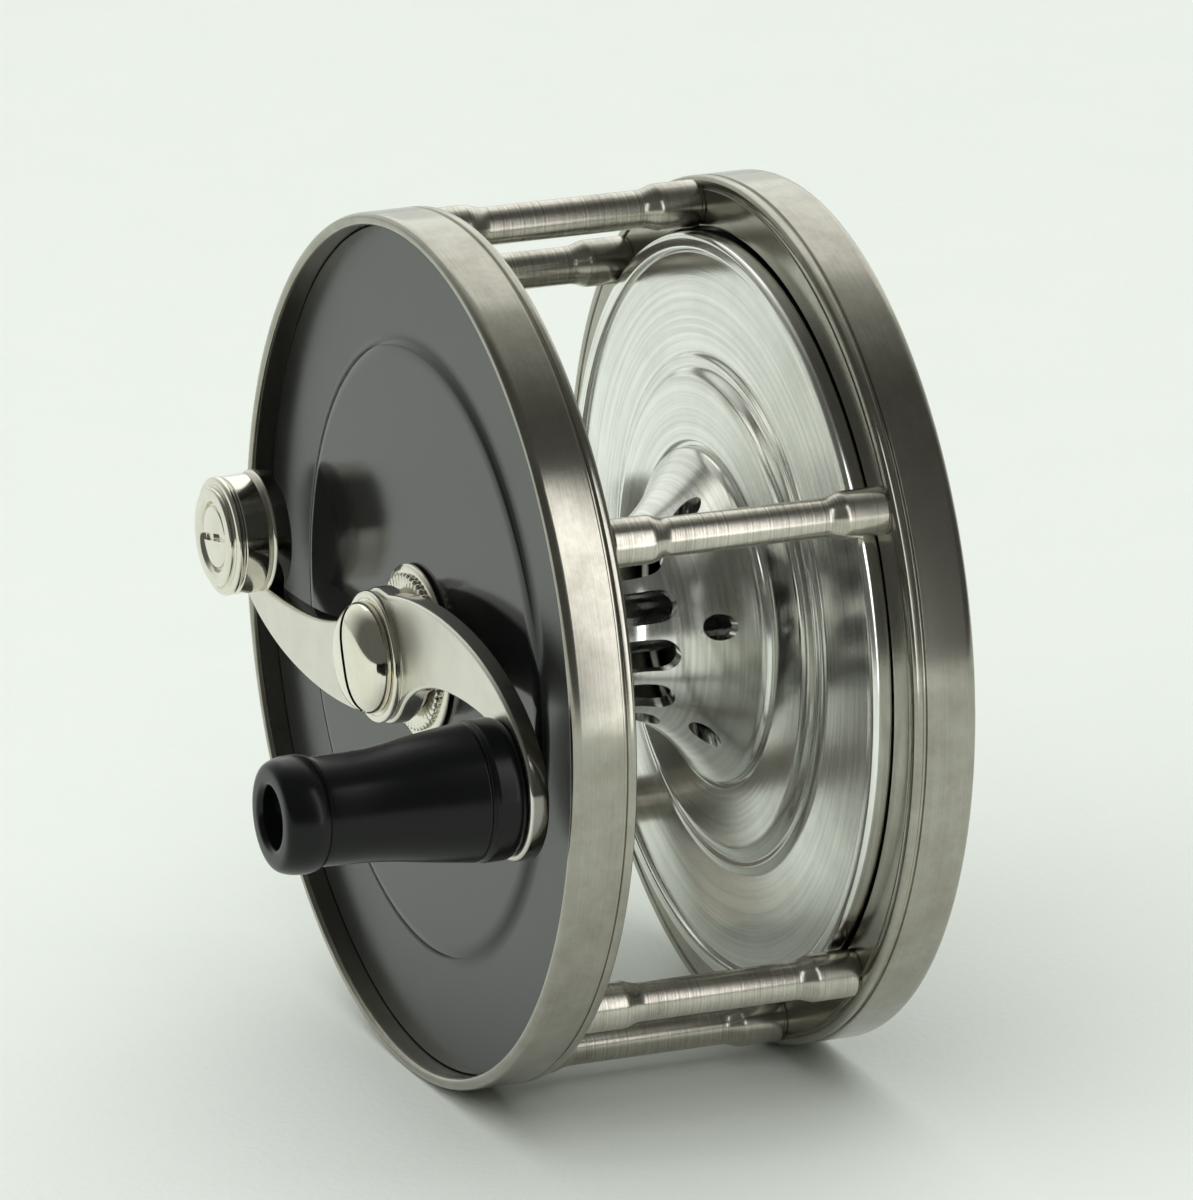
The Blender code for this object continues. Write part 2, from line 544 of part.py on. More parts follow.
tenon.display_type = "WIRE"
union = spindle.modifiers.new("tenon", "BOOLEAN")
union.operation = "UNION"
union.solver = "EXACT"
union.object = tenon
drill(spindle, "spindle_bore", [(0, 0)], CAP_SHANK + GAP, ARM_FACE - GAP, CAP_SHANK_END + GAP)

turned("front_bushing", [
    (BORE, GAP), (BUSH_NOSE, GAP), (BUSH_NOSE, FRONT_FACE), (BEARING_RADIUS, FRONT_FACE + GAP),
    (BEARING_RADIUS, PLATE_BACK + GAP), (CAP_RADIUS, PLATE_BACK + GAP), (CAP_RADIUS, PLATE_BACK + 4 * GAP),
    (BORE, PLATE_BACK + 4 * GAP)], BRASS)
turned("drag_spring", [
    (BORE + GAP, PLATE_BACK + 5 * GAP), (BORE + GAP, PLATE_BACK + 6.5 * GAP),
    (DRAG_WASHER_RADIUS - EDGE, PLATE_BACK + 7.5 * GAP), (DRAG_WASHER_RADIUS - EDGE, PLATE_BACK + 6 * GAP)],
    STEEL)
turned("drag_washer", [
    (BORE + GAP, PLATE_BACK + 8.5 * GAP), (BORE + GAP, MIDDLE - HUB_END - GAP),
    (DRAG_WASHER_RADIUS, MIDDLE - HUB_END - GAP), (DRAG_WASHER_RADIUS, PLATE_BACK + 8.5 * GAP)], LEATHER)

cap_low = REAR_FACE + GAP
cap_high = REEL_WIDTH - EDGE
cap_skirt = REAR_INSIDE - 4 * GAP
rear_bearing_cap = turned("rear_bearing_cap", [
    (0, SPINDLE_BACK + GAP), (BORE, SPINDLE_BACK + GAP), (BORE, cap_skirt), (BEARING_RADIUS, cap_skirt),
    (BEARING_RADIUS, cap_low), (CAP_RADIUS, cap_low), (CAP_RADIUS, cap_low + CAP_FLANGE),
    (BEARING_RADIUS, cap_low + CAP_FLANGE), (0.8 * BEARING_RADIUS, cap_high - EDGE), (0, cap_high)],
    SATIN_NICKEL)
cap_places = [on_circle(CAP_SCREW_CIRCLE, 90 + 120 * i) for i in range(3)]
drill(rear_bearing_cap, "cap_screw_holes", [place.xz for place in cap_places], SCREW_SHANK + GAP,
      cap_low - GAP, cap_low + 2 * CAP_FLANGE, HOLE_SEGMENTS)
for number, place in enumerate(cap_places, 1):
    low = REAR_INSIDE + GAP
    base = cap_low + CAP_FLANGE + GAP
    top = base + CAP_FLANGE
    head = 0.75 * SCREW_HEAD
    screw = turned(f"bearing_screw_{number}", [
        (0, low), (SCREW_SHANK, low), (SCREW_SHANK, base), (head, base), (head, top), (0, top)],
        BRIGHT_NICKEL, SCREW_SEGMENTS, place)
    slot_cutter(screw, SCREW_HEAD, top, 0.4 * CAP_FLANGE, 60 * number)

# ---- drag wheel: a knurled nut on the bushing's nose ------------------------------
DRAG_AXIS = bpy.data.objects.new("drag_axis", None)
DRAG_AXIS.parent = REEL
bpy.context.collection.objects.link(DRAG_AXIS)
wheel_back = FRONT_FACE - GAP
flange_front = 0.6 * wheel_back + 0.4 * GAP
knurl_front = 0.15 * wheel_back + 0.85 * GAP
bm = bmesh.new()
count = 2 * KNURL_TEETH
rows = [(BUSH_NOSE + GAP, wheel_back, 0), (DRAG_WHEEL_RADIUS, wheel_back, 0),
        (DRAG_WHEEL_RADIUS, flange_front, 0), (KNURL_RADIUS, flange_front, 1),
        (KNURL_RADIUS, knurl_front, 1), (DRAG_COLLAR, knurl_front, 0),
        (DRAG_COLLAR, GAP, 0), (BUSH_NOSE + GAP, GAP, 0)]
rings = []
for radius, y, knurled in rows:
    ring = []
    for i in range(count):
        dent = KNURL_DEPTH if knurled and i % 2 else 0.0
        ring.append(bm.verts.new(on_circle(radius - dent, 360 * i / count, y)))
    rings.append(ring)
for row, first in enumerate(rings):
    second = rings[(row + 1) % len(rings)]
    for i in range(count):
        j = (i + 1) % count
        bm.faces.new((first[i], first[j], second[j], second[i]))
add_object("drag_wheel", bm, BRIGHT_NICKEL, parent=DRAG_AXIS)

# ---- click: ratchet on the spindle, pawl carried by a slide behind the rear plate ---
RATCHET_LOW = MIDDLE + HUB_END + GAP
RATCHET_HIGH = RATCHET_LOW + RATCHET_THICKNESS
outline = []
for i in range(RATCHET_TEETH):
    step = 360 / RATCHET_TEETH
    middle = 90 + (i + 0.5) * step
    for radius, offset in ((RATCHET_RADIUS - TOOTH_HEIGHT, -0.34), (RATCHET_RADIUS, -0.10),
                           (RATCHET_RADIUS, 0.10), (RATCHET_RADIUS - TOOTH_HEIGHT, 0.34)):
        outline.append(tuple(on_circle(radius, middle + offset * step).xz))
bm = bmesh.new()
add_prism(bm, outline, RATCHET_LOW, RATCHET_HIGH)
ratchet = add_object("ratchet_wheel", bm, STEEL)
drill(ratchet, "ratchet_bore", [(0, 0)], BORE, RATCHET_LOW - GAP, RATCHET_HIGH + GAP, 24)

CLICK_AXIS = bpy.data.objects.new("click_slide_axis", None)
CLICK_AXIS.parent = REEL
CLICK_AXIS.location = (0, 0, PAWL_PIVOT)
bpy.context.collection.objects.link(CLICK_AXIS)
PAWL_AXIS = bpy.data.objects.new("pawl_axis", None)
PAWL_AXIS.parent = CLICK_AXIS
bpy.context.collection.objects.link(PAWL_AXIS)
slide_high = REAR_INSIDE - GAP
slide_low = slide_high - SLIDE_THICKNESS
bm = bmesh.new()
add_prism(bm, circle_points(SLIDE_HALF, 9, (0, SLIDE_TOP), 0, 180)
          + [(-SLIDE_HALF, -SLIDE_FOOT), (SLIDE_HALF, -SLIDE_FOOT)], slide_low, slide_high)
click_slide = add_object("click_slide", bm, BRASS, parent=CLICK_AXIS)
drill(click_slide, "slide_pin_hole", [(0, 0)], PIN_RADIUS + GAP, slide_low - GAP, slide_high + GAP)
button_end = REAR_FACE + BUTTON_HEIGHT
turned("click_button", [
    (0, slide_high + GAP), (BUTTON_STEM, slide_high + GAP), (BUTTON_STEM, REAR_FACE + GAP),
    (BUTTON_RADIUS, REAR_FACE + GAP), (BUTTON_RADIUS, button_end - EDGE), (BUTTON_RADIUS - EDGE, button_end),
    (0, button_end)], SATIN_NICKEL, 16, parent=CLICK_AXIS)
pin_base = RATCHET_LOW - GAP
turned("pawl_pin", [
    (0, pin_base - PIN_HEAD_HEIGHT), (PIN_HEAD, pin_base - PIN_HEAD_HEIGHT), (PIN_HEAD, pin_base),
    (PIN_RADIUS, pin_base), (PIN_RADIUS, slide_high), (0, slide_high)], STEEL, 12, parent=CLICK_AXIS)
tip = PAWL_PIVOT - PAWL_ENGAGED
bm = bmesh.new()
add_prism(bm, circle_points(PAWL_EYE, 8, (0, 0), -20, 220)
          + [(-0.60 * PAWL_EYE, -0.55 * tip), (-0.20 * PAWL_EYE, -0.88 * tip), (-0.08 * PAWL_EYE, -tip),
             (0.08 * PAWL_EYE, -tip), (0.20 * PAWL_EYE, -0.88 * tip), (0.60 * PAWL_EYE, -0.55 * tip)],
          RATCHET_LOW, RATCHET_HIGH)
click_pawl = add_object("click_pawl", bm, STEEL, parent=PAWL_AXIS)
drill(click_pawl, "pawl_pin_hole", [(0, 0)], PIN_RADIUS + GAP, RATCHET_LOW - GAP, RATCHET_HIGH + GAP)

bm = bmesh.new()
add_prism(bm, circle_points(PAWL_SPRING_RADIUS, 13, (0, 0), -40, 260)
          + circle_points(PAWL_SPRING_RADIUS - PAWL_SPRING_LEAF, 13, (0, 0), 220, -260),
          RATCHET_LOW + EDGE, RATCHET_HIGH - EDGE)
add_object("pawl_spring", bm, STEEL, parent=CLICK_AXIS)

# ---- crank: an S-shaped arm, square on the spindle ---------------------------------
CRANK_AXIS = bpy.data.objects.new("spool_axis", None)
CRANK_AXIS.parent = REEL
bpy.context.collection.objects.link(CRANK_AXIS)


def bezier(a, b, c, d, count):
    """Points on a cubic curve, without its first one."""
    points = []
    for i in range(1, count + 1):
        t = i / count
        s = 1 - t
        points.append(tuple(s ** 3 * a[k] + 3 * s * s * t * b[k] + 3 * s * t * t * c[k] + t ** 3 * d[k]
                            for k in (0, 1)))
    return points


def arm_side(throw, degrees, lobe, flip):
    """One half of the S, from the hub's under side round the end lobe to the hub's top."""
    centre = on_circle(throw, degrees).xz * flip
    reach = centre.x
    under = on_circle(ARM_HUB, -40).xz
    join = centre + on_circle(lobe, 130).xz
    leave = centre + on_circle(lobe, 45).xz
    top = (0.27 * ARM_HUB, ARM_HUB)
    lower = bezier(under, (0.28 * reach, 0.11 * ARM_HUB), (0.57 * reach, 0.30 * ARM_HUB), join, 7)
    arc = circle_points(lobe, 13, centre, 130, 275)
    upper = bezier(leave, (0.93 * reach, 1.31 * ARM_HUB), (0.40 * reach, 1.43 * ARM_HUB), top, 9)
    crown = circle_points(ARM_HUB, 4, (0, 0), 90, 50)
    points = [tuple(under)] + lower + arc[1:] + upper + crown[1:-1]
    return [(x * flip, z * flip) for x, z in points]


outline = arm_side(KNOB_THROW, KNOB_ANGLE, KNOB_LOBE, 1) + arm_side(WEIGHT_THROW, WEIGHT_ANGLE, WEIGHT_LOBE, -1)
bm = bmesh.new()
add_prism(bm, outline, ARM_FACE, ARM_BACK)
arm = add_object("crank_arm", bm, SATIN_NICKEL, parent=CRANK_AXIS)
bm = bmesh.new()
add_prism(bm, circle_points(ARM_HUB - EDGE, 32), ARM_BACK - EDGE, BOSS_BACK)
boss = add_object("crank_boss", bm, None, parent=CRANK_AXIS)
boss.hide_render = True
boss.display_type = "WIRE"
union = arm.modifiers.new("boss", "BOOLEAN")
union.operation = "UNION"
union.solver = "EXACT"
union.object = boss
square = TENON / 2 + GAP
bm = bmesh.new()
add_prism(bm, [(square, square), (-square, square), (-square, -square), (square, -square)],
          ARM_FACE - GAP, BOSS_BACK + GAP)
cut(arm, "tenon_hole", bm)
drill(arm, "arm_post_hole", [KNOB_CENTRE.xz], POST_RADIUS + GAP, ARM_FACE - GAP, ARM_BACK + GAP)
drill(arm, "arm_weight_hole", [WEIGHT_CENTRE.xz], CAP_SHANK + GAP, ARM_FACE - GAP, ARM_BACK + GAP)

washer_front = ARM_FACE - GAP - WASHER_THICKNESS
turned("crank_washer", [
    (CAP_SHANK + 2 * GAP, ARM_FACE - GAP), (CAP_SHANK + 2 * GAP, washer_front),
    (WASHER_RADIUS - EDGE, washer_front), (WASHER_RADIUS, washer_front + EDGE), (WASHER_RADIUS, ARM_FACE - GAP)], BRIGHT_NICKEL, parent=CRANK_AXIS)

dome_base = washer_front - GAP
dome = [(0, CAP_SHANK_END), (CAP_SHANK, CAP_SHANK_END), (CAP_SHANK, dome_base), (DOME_RADIUS, dome_base)]
for i in range(1, 7):
    t = math.radians(90 * i / 6)
    radius = DOME_RADIUS * math.cos(t) ** 0.55 if i < 6 else 0
    dome.append((radius, dome_base - DOME_HEIGHT * math.sin(t) ** 0.85))
crank_cap_screw = turned("crank_cap_screw", dome, BRIGHT_NICKEL, parent=CRANK_AXIS)
slot_cutter(crank_cap_screw, DOME_RADIUS, dome_base - DOME_HEIGHT, DOME_SLOT_DEPTH, DOME_SLOT_ANGLE)

# ---- counterweight -------------------------------------------------------------
weight_base = ARM_FACE - GAP
weight_face = weight_base - WEIGHT_HEIGHT
sink_floor = weight_face + WEIGHT_SINK
turned("counterweight", [
    (CAP_SHANK + GAP, weight_base), (CAP_SHANK + GAP, sink_floor), (WEIGHT_SCREW + GAP, sink_floor),
    (WEIGHT_SCREW + GAP, weight_face + EDGE), (WEIGHT_SCREW + 3 * EDGE, weight_face),
    (WEIGHT_RADIUS - 5 * EDGE, weight_face), (WEIGHT_RADIUS - 4 * EDGE, weight_face + EDGE),
    (WEIGHT_RADIUS - EDGE, weight_face + 2 * EDGE), (WEIGHT_RADIUS, weight_face + 4 * EDGE),
    (WEIGHT_RADIUS, weight_base)], BRIGHT_NICKEL, 20, WEIGHT_CENTRE, CRANK_AXIS)
screw_face = weight_face + EDGE
weight_screw = turned("counterweight_screw", [
    (0, ARM_BACK), (CAP_SHANK, ARM_BACK), (CAP_SHANK, sink_floor - GAP), (WEIGHT_SCREW, sink_floor - GAP),
    (WEIGHT_SCREW, screw_face + EDGE), (WEIGHT_SCREW - EDGE, screw_face), (0, screw_face)],
    BRIGHT_NICKEL, 16, WEIGHT_CENTRE, CRANK_AXIS)
slot_cutter(weight_screw, WEIGHT_SCREW, screw_face, SLOT_DEPTH, 12)

# ---- knob on its post ------------------------------------------------------------
KNOB_AXIS = bpy.data.objects.new("knob_axis", None)
KNOB_AXIS.parent = CRANK_AXIS
KNOB_AXIS.location = KNOB_CENTRE
bpy.context.collection.objects.link(KNOB_AXIS)
knob_base = ARM_FACE - GAP
knob_end = ARM_FACE - KNOB_LENGTH
hole_bottom = knob_end + KNOB_HOLE_DEPTH
bulb = (0.0019, 0.0032, 0.0048, 0.0078)       # the bulb's widest place, its back, the neck's two ends
skirt = (0.0010, 0.0034, 0.0040, 0.0095)            # the base's foot, top, shoulder and flare
turned("knob", [
    (POST_RADIUS + GAP, knob_base), (POST_RADIUS + GAP, hole_bottom), (KNOB_HOLE, hole_bottom),
    (KNOB_HOLE, knob_end + EDGE), (KNOB_HOLE + 2 * EDGE, knob_end), (KNOB_BULB - 4 * EDGE, knob_end),
    (KNOB_BULB - EDGE, knob_end + 2 * EDGE), (KNOB_BULB, knob_end + bulb[0]),
    (KNOB_BULB - EDGE, knob_end + bulb[1]), (KNOB_NECK, knob_end + bulb[2]),
    (KNOB_NECK, knob_end + bulb[3]), (0.45 * KNOB_NECK + 0.55 * KNOB_BASE, knob_base - skirt[3]),
    (KNOB_BASE - EDGE, knob_base - skirt[2]), (KNOB_BASE, knob_base - skirt[1]),
    (KNOB_BASE, knob_base - skirt[0]), (KNOB_BASE - 2 * EDGE, knob_base)], BLACK_RUBBER, parent=KNOB_AXIS)
post_end = hole_bottom - GAP
turned("knob_post", [
    (0, ARM_BACK), (POST_RADIUS, ARM_BACK), (POST_RADIUS, post_end), (0, post_end)], STEEL, 16,
    KNOB_CENTRE, CRANK_AXIS)
screw_low = post_end - GAP
screw_radius = KNOB_HOLE - 2 * GAP
screw_top = screw_low - KNOB_SCREW_HEIGHT
knob_screw = turned("knob_screw", [
    (0, screw_low), (screw_radius, screw_low), (screw_radius, screw_top), (0, screw_top)], STEEL, 16,
    KNOB_CENTRE, CRANK_AXIS)
slot_cutter(knob_screw, KNOB_HOLE, screw_top, SLOT_DEPTH, 35)

for name in ("spindle", "spindle_tenon", "spindle_bore", "spool_arbor", "arbor_slots", "arbor_holes",
             "spool_front_flange", "spool_rear_flange", "ratchet_wheel", "ratchet_bore"):
    bpy.data.objects[name].parent = CRANK_AXIS

# ---- stand the reel on z = 0, with the origin under the middle of its box ------------
bpy.context.view_layer.update()
depsgraph = bpy.context.evaluated_depsgraph_get()
corners = []
for piece in bpy.data.objects:
    if piece.type == "MESH" and not piece.hide_render:
        shape = piece.evaluated_get(depsgraph)
        corners += [piece.matrix_world @ vert.co for vert in shape.data.vertices]
low = Vector([min(corner[k] for corner in corners) for k in range(3)])
high = Vector([max(corner[k] for corner in corners) for k in range(3)])
REEL.location = (-(low.x + high.x) / 2, -(low.y + high.y) / 2, -low.z)
bpy.context.view_layer.update()
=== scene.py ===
"""The finished look of a wide fly reel with an S-shaped crank.

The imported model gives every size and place.  Each section makes one piece of the reel, from the studio and
the rims inwards to the spool, and then outwards to the crank and its knob.
"""
import math

import bmesh
import bpy
from mathutils import Matrix, Vector


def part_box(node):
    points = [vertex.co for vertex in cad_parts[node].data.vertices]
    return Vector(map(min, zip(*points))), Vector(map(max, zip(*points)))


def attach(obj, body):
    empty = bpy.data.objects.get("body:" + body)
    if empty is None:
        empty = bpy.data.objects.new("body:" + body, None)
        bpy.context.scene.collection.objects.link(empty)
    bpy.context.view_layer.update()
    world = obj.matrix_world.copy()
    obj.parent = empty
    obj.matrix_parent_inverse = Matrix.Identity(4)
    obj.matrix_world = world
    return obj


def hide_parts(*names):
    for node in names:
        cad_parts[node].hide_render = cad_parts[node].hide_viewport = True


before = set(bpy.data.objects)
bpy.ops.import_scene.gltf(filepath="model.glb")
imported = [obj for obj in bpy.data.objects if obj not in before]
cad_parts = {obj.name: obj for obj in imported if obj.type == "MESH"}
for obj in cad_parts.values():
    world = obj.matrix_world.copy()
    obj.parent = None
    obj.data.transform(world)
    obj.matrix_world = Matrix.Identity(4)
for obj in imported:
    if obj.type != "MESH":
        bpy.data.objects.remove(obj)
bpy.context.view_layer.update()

# ---- studio ----------------------------------------------------------------
# A sheet of pale paper under a wide softbox, in a room that is bright at the far left and dim at the
# right. A narrow strip of light stands close by on the right, where only the front rim mirrors it.
mm = 0.001
rim_low, rim_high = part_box("front_ring")
rim_radius = (rim_high[0] - rim_low[0]) / 2
reel_axis = Vector(((rim_low[0] + rim_high[0]) / 2, rim_low[1], rim_low[2] + rim_radius))

azimuth = math.radians(67.29)
elevation = math.radians(17.39)
camera_distance = 28.1 * rim_radius
target = reel_axis + rim_radius * Vector((-0.0686, 0.5, 0.0444))
towards_camera = Vector((math.sin(azimuth) * math.cos(elevation), -math.cos(azimuth) * math.cos(elevation),
                         math.sin(elevation)))
camera_data = bpy.data.cameras.new("camera")
camera_data.sensor_width = 36
camera_data.lens = 369.9
camera = bpy.data.objects.new("camera", camera_data)
camera.location = target + camera_distance * towards_camera
camera.rotation_euler = (math.pi / 2 - elevation, 0, azimuth)
bpy.context.collection.objects.link(camera)
bpy.context.scene.camera = camera
bpy.context.scene.view_settings.view_transform = "Standard"


def node(tree, kind, inputs=None, **settings):
    """Add a node; its sockets take plain values or other nodes' outputs."""
    made = tree.nodes.new("ShaderNode" + kind)
    for name, value in settings.items():
        setattr(made, name, value)
    for name, value in (inputs or {}).items():
        if isinstance(value, bpy.types.NodeSocket):
            tree.links.new(value, made.inputs[name])
        else:
            made.inputs[name].default_value = value
    return made


def new_material(name):
    """A material with nodes: the material, its node tree and its shader."""
    material = bpy.data.materials.new(name)
    material.use_nodes = True
    return material, material.node_tree, material.node_tree.nodes["Principled BSDF"]


def blend(tree, factor, first, second):
    """The colour between two plain colours that a factor picks."""
    mixed = node(tree, "Mix", {"Factor": factor, "A": (*first, 1), "B": (*second, 1)}, data_type="RGBA")
    return mixed.outputs["Result"]


world = bpy.data.worlds.new("studio")
bpy.context.scene.world = world
world.use_nodes = True
tree = world.node_tree
direction = node(tree, "TexCoord").outputs["Generated"]
bright_side = (-0.90, 0.42, 0.10)
facing = node(tree, "VectorMath", {0: direction, 1: bright_side}, operation="DOT_PRODUCT")
pale = node(tree, "MapRange", {"Value": facing.outputs["Value"], "From Min": 0.0, "From Max": 0.95},
            interpolation_type="SMOOTHSTEP")
room = blend(tree, pale.outputs[0], (0.11, 0.114, 0.104), (0.92, 0.96, 0.90))
tree.links.new(room, tree.nodes["Background"].inputs["Color"])
tree.nodes["Background"].inputs["Strength"].default_value = 1.0


def soft_light(name, place, aim, size, power, glossy=True, diffuse=True):
    """A softbox that points from place to aim, and may be left out of mirrored or of scattered light."""
    data = bpy.data.lights.new(name, "AREA")
    data.shape = "RECTANGLE"
    data.size, data.size_y = size
    data.energy = power
    light = bpy.data.objects.new(name, data)
    light.location = place
    light.rotation_euler = (Vector(aim) - Vector(place)).to_track_quat("-Z", "Y").to_euler()
    light.visible_glossy = glossy
    light.visible_diffuse = diffuse
    light.visible_camera = False
    bpy.context.collection.objects.link(light)


soft_light("overhead", place=(0.45, -0.60, 1.7), aim=(0, 0, 0), size=(3.4, 3.4), power=54, glossy=False)
soft_light("window", place=(-0.85, 0.55, 0.80), aim=(0, 0, 0.05), size=(1.3, 1.1), power=2.4)
soft_light("side_strip", place=(0.166, 0.054, 0.122), aim=(0.045, 0.0, 0.062), size=(0.030, 0.20),
           power=0.050, diffuse=False)

bm = bmesh.new()
bmesh.ops.create_grid(bm, x_segments=2, y_segments=2, size=3.0)
floor_mesh = bpy.data.meshes.new("floor")
bm.to_mesh(floor_mesh)
bm.free()
floor = bpy.data.objects.new("floor", floor_mesh)
bpy.context.collection.objects.link(floor)
paper, tree, shader = new_material("paper")
shader.inputs["Roughness"].default_value = 0.85
place = node(tree, "TexCoord").outputs["Object"]
blotches = node(tree, "TexNoise", {"Vector": place, "Scale": 60.0, "Detail": 5.0})
paper_shade = blend(tree, blotches.outputs["Fac"], (0.78, 0.825, 0.775), (0.81, 0.85, 0.80))
tree.links.new(paper_shade, shader.inputs["Base Color"])
grain = node(tree, "TexNoise", {"Vector": place, "Scale": 900.0, "Detail": 3.0})
bump = node(tree, "Bump", {"Height": grain.outputs["Fac"], "Distance": 0.1 * mm})
tree.links.new(bump.outputs[0], shader.inputs["Normal"])
floor_mesh.materials.append(paper)

# ---- rims ------------------------------------------------------------------
# Two turned nickel silver bands, each with a rounded lip outside, a bead between two fine grooves on
# its inner edge, and a flat seat inside that takes the pillars. The silver has gone a warm, mottled grey.
rear_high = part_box("rear_ring")[1]
rim_width = rim_high[1] - rim_low[1]
rim_wall = 1.4 * mm
rim_inner = rim_radius - rim_wall
seat_depth = 5.15 * mm
seat_inner = rim_inner - 4.1 * mm
groove_depth = 0.30 * mm
rim_sides = 288
turned_crease = 50


def rounded(corners, steps=5):
    """A closed (radius, y) outline whose corners (radius, y, cut) are rounded off over that length."""
    points = []
    for i, (radius, y, cut) in enumerate(corners):
        here = Vector((radius, y))
        if cut == 0:
            points.append(here)
            continue
        before = Vector(corners[i - 1][:2]) - here
        after = Vector(corners[(i + 1) % len(corners)][:2]) - here
        first = here + before.normalized() * min(cut, 0.48 * before.length)
        last = here + after.normalized() * min(cut, 0.48 * after.length)
        for k in range(steps + 1):
            t = k / steps
            points.append((1 - t) ** 2 * first + 2 * t * (1 - t) * here + t * t * last)
    return points


def circle(bm, radius, y, sides):
    """A ring of vertices round the Y axis, or one vertex where the radius is nothing."""
    angles = [2 * math.pi * i / sides for i in range(sides if radius else 1)]
    return [bm.verts.new((radius * math.cos(angle), y, radius * math.sin(angle))) for angle in angles]


def bridge(bm, first, second):
    """Join two rings of vertices with faces; either ring may be a single vertex."""
    count = max(len(first), len(second))
    for i in range(count):
        j = (i + 1) % count
        corners = (first[i % len(first)], first[j % len(first)],
                   second[j % len(second)], second[i % len(second)])
        bm.faces.new(list(dict.fromkeys(corners)))


def new_piece(name, bm, place, material):
    """Put a mesh in the scene, smooth, with its sharp edges kept sharp."""
    bmesh.ops.remove_doubles(bm, verts=bm.verts, dist=1e-8)
    bmesh.ops.recalc_face_normals(bm, faces=bm.faces)
    mesh = bpy.data.meshes.new(name)
    bm.to_mesh(mesh)
    bm.free()
    mesh.shade_smooth()
    mesh.set_sharp_from_angle(angle=math.radians(turned_crease))
    mesh.materials.append(material)
    piece = bpy.data.objects.new(name, mesh)
    piece.location = place
    bpy.context.collection.objects.link(piece)
    return piece


def flat_normals(piece):
    """Let the large faces set the shading next to a narrow rounded edge."""
    weighted = piece.modifiers.new("flat_faces", "WEIGHTED_NORMAL")
    weighted.keep_sharp = True


def turn(name, outline, place, material, sides=192):
    """Turn an outline about the Y axis; one that starts and ends on the axis makes a solid."""
    bm = bmesh.new()
    rings = [circle(bm, radius, y, sides) for radius, y in outline]
    for first, second in zip(rings, rings[1:]):
        bridge(bm, first, second)
    if outline[0][0] or outline[-1][0]:
        bridge(bm, rings[-1], rings[0])
    piece = new_piece(name, bm, place, material)
    flat_normals(piece)
    return piece


def lathe_lines(tree, scale, swirl, detail=2.0, roughness=0.5, depth_axis="Y"):
    """Noise that runs in rings round the Y axis, with a slight swirl."""
    place = node(tree, "SeparateXYZ", {0: node(tree, "TexCoord").outputs["Object"]})
    across = node(tree, "CombineXYZ", {"X": place.outputs["X"], "Y": place.outputs["Z"]})
    radius = node(tree, "VectorMath", {0: across.outputs[0]}, operation="LENGTH")
    section = node(tree, "CombineXYZ", {"X": radius.outputs["Value"], depth_axis: place.outputs["Y"]})
    drift = node(tree, "VectorMath", {0: across.outputs[0], "Scale": swirl}, operation="SCALE")
    along = node(tree, "VectorMath", {0: section.outputs[0], 1: drift.outputs[0]}, operation="ADD")
    lines = node(tree, "TexNoise", {"Vector": along.outputs[0], "Scale": scale, "Detail": detail,
                                    "Roughness": roughness})
    return lines.outputs["Fac"]


def turned_metal(name, colour, dull, roughness, line_height, line_scale=9000, mottle=0.8, cloud_scale=260,
                 line_shade=0.2):
    """Lathe-turned metal: tool lines run round the Y axis, and a cloudy tarnish changes colour and gloss."""
    material, tree, shader = new_material(name)
    shader.inputs["Metallic"].default_value = 1.0
    lines = lathe_lines(tree, line_scale, swirl=0.012)
    bump = node(tree, "Bump", {"Height": lines, "Distance": line_height})
    tree.links.new(bump.outputs[0], shader.inputs["Normal"])
    place = node(tree, "TexCoord").outputs["Object"]
    cloud = node(tree, "TexNoise", {"Vector": place, "Scale": cloud_scale, "Detail": 6.0, "Roughness": 0.7})
    tarnish = node(tree, "MapRange", {"Value": cloud.outputs["Fac"], "From Min": 0.35, "From Max": 0.65,
                                      "To Max": mottle})
    streaks = node(tree, "MapRange", {"Value": lines, "From Min": 0.35, "From Max": 0.65,
                                      "To Min": -line_shade, "To Max": line_shade})
    worn = node(tree, "Math", {0: tarnish.outputs[0], 1: streaks.outputs[0]}, operation="ADD", use_clamp=True)
    tree.links.new(blend(tree, worn.outputs[0], colour, dull), shader.inputs["Base Color"])
    gloss = node(tree, "MapRange", {"Value": cloud.outputs["Fac"], "To Min": 0.8 * roughness,
                                    "To Max": 1.3 * roughness})
    tree.links.new(gloss.outputs[0], shader.inputs["Roughness"])
    return material


satin_nickel = turned_metal("satin_nickel", (0.40, 0.385, 0.335), (0.30, 0.285, 0.24), 0.16, 1.0e-6)

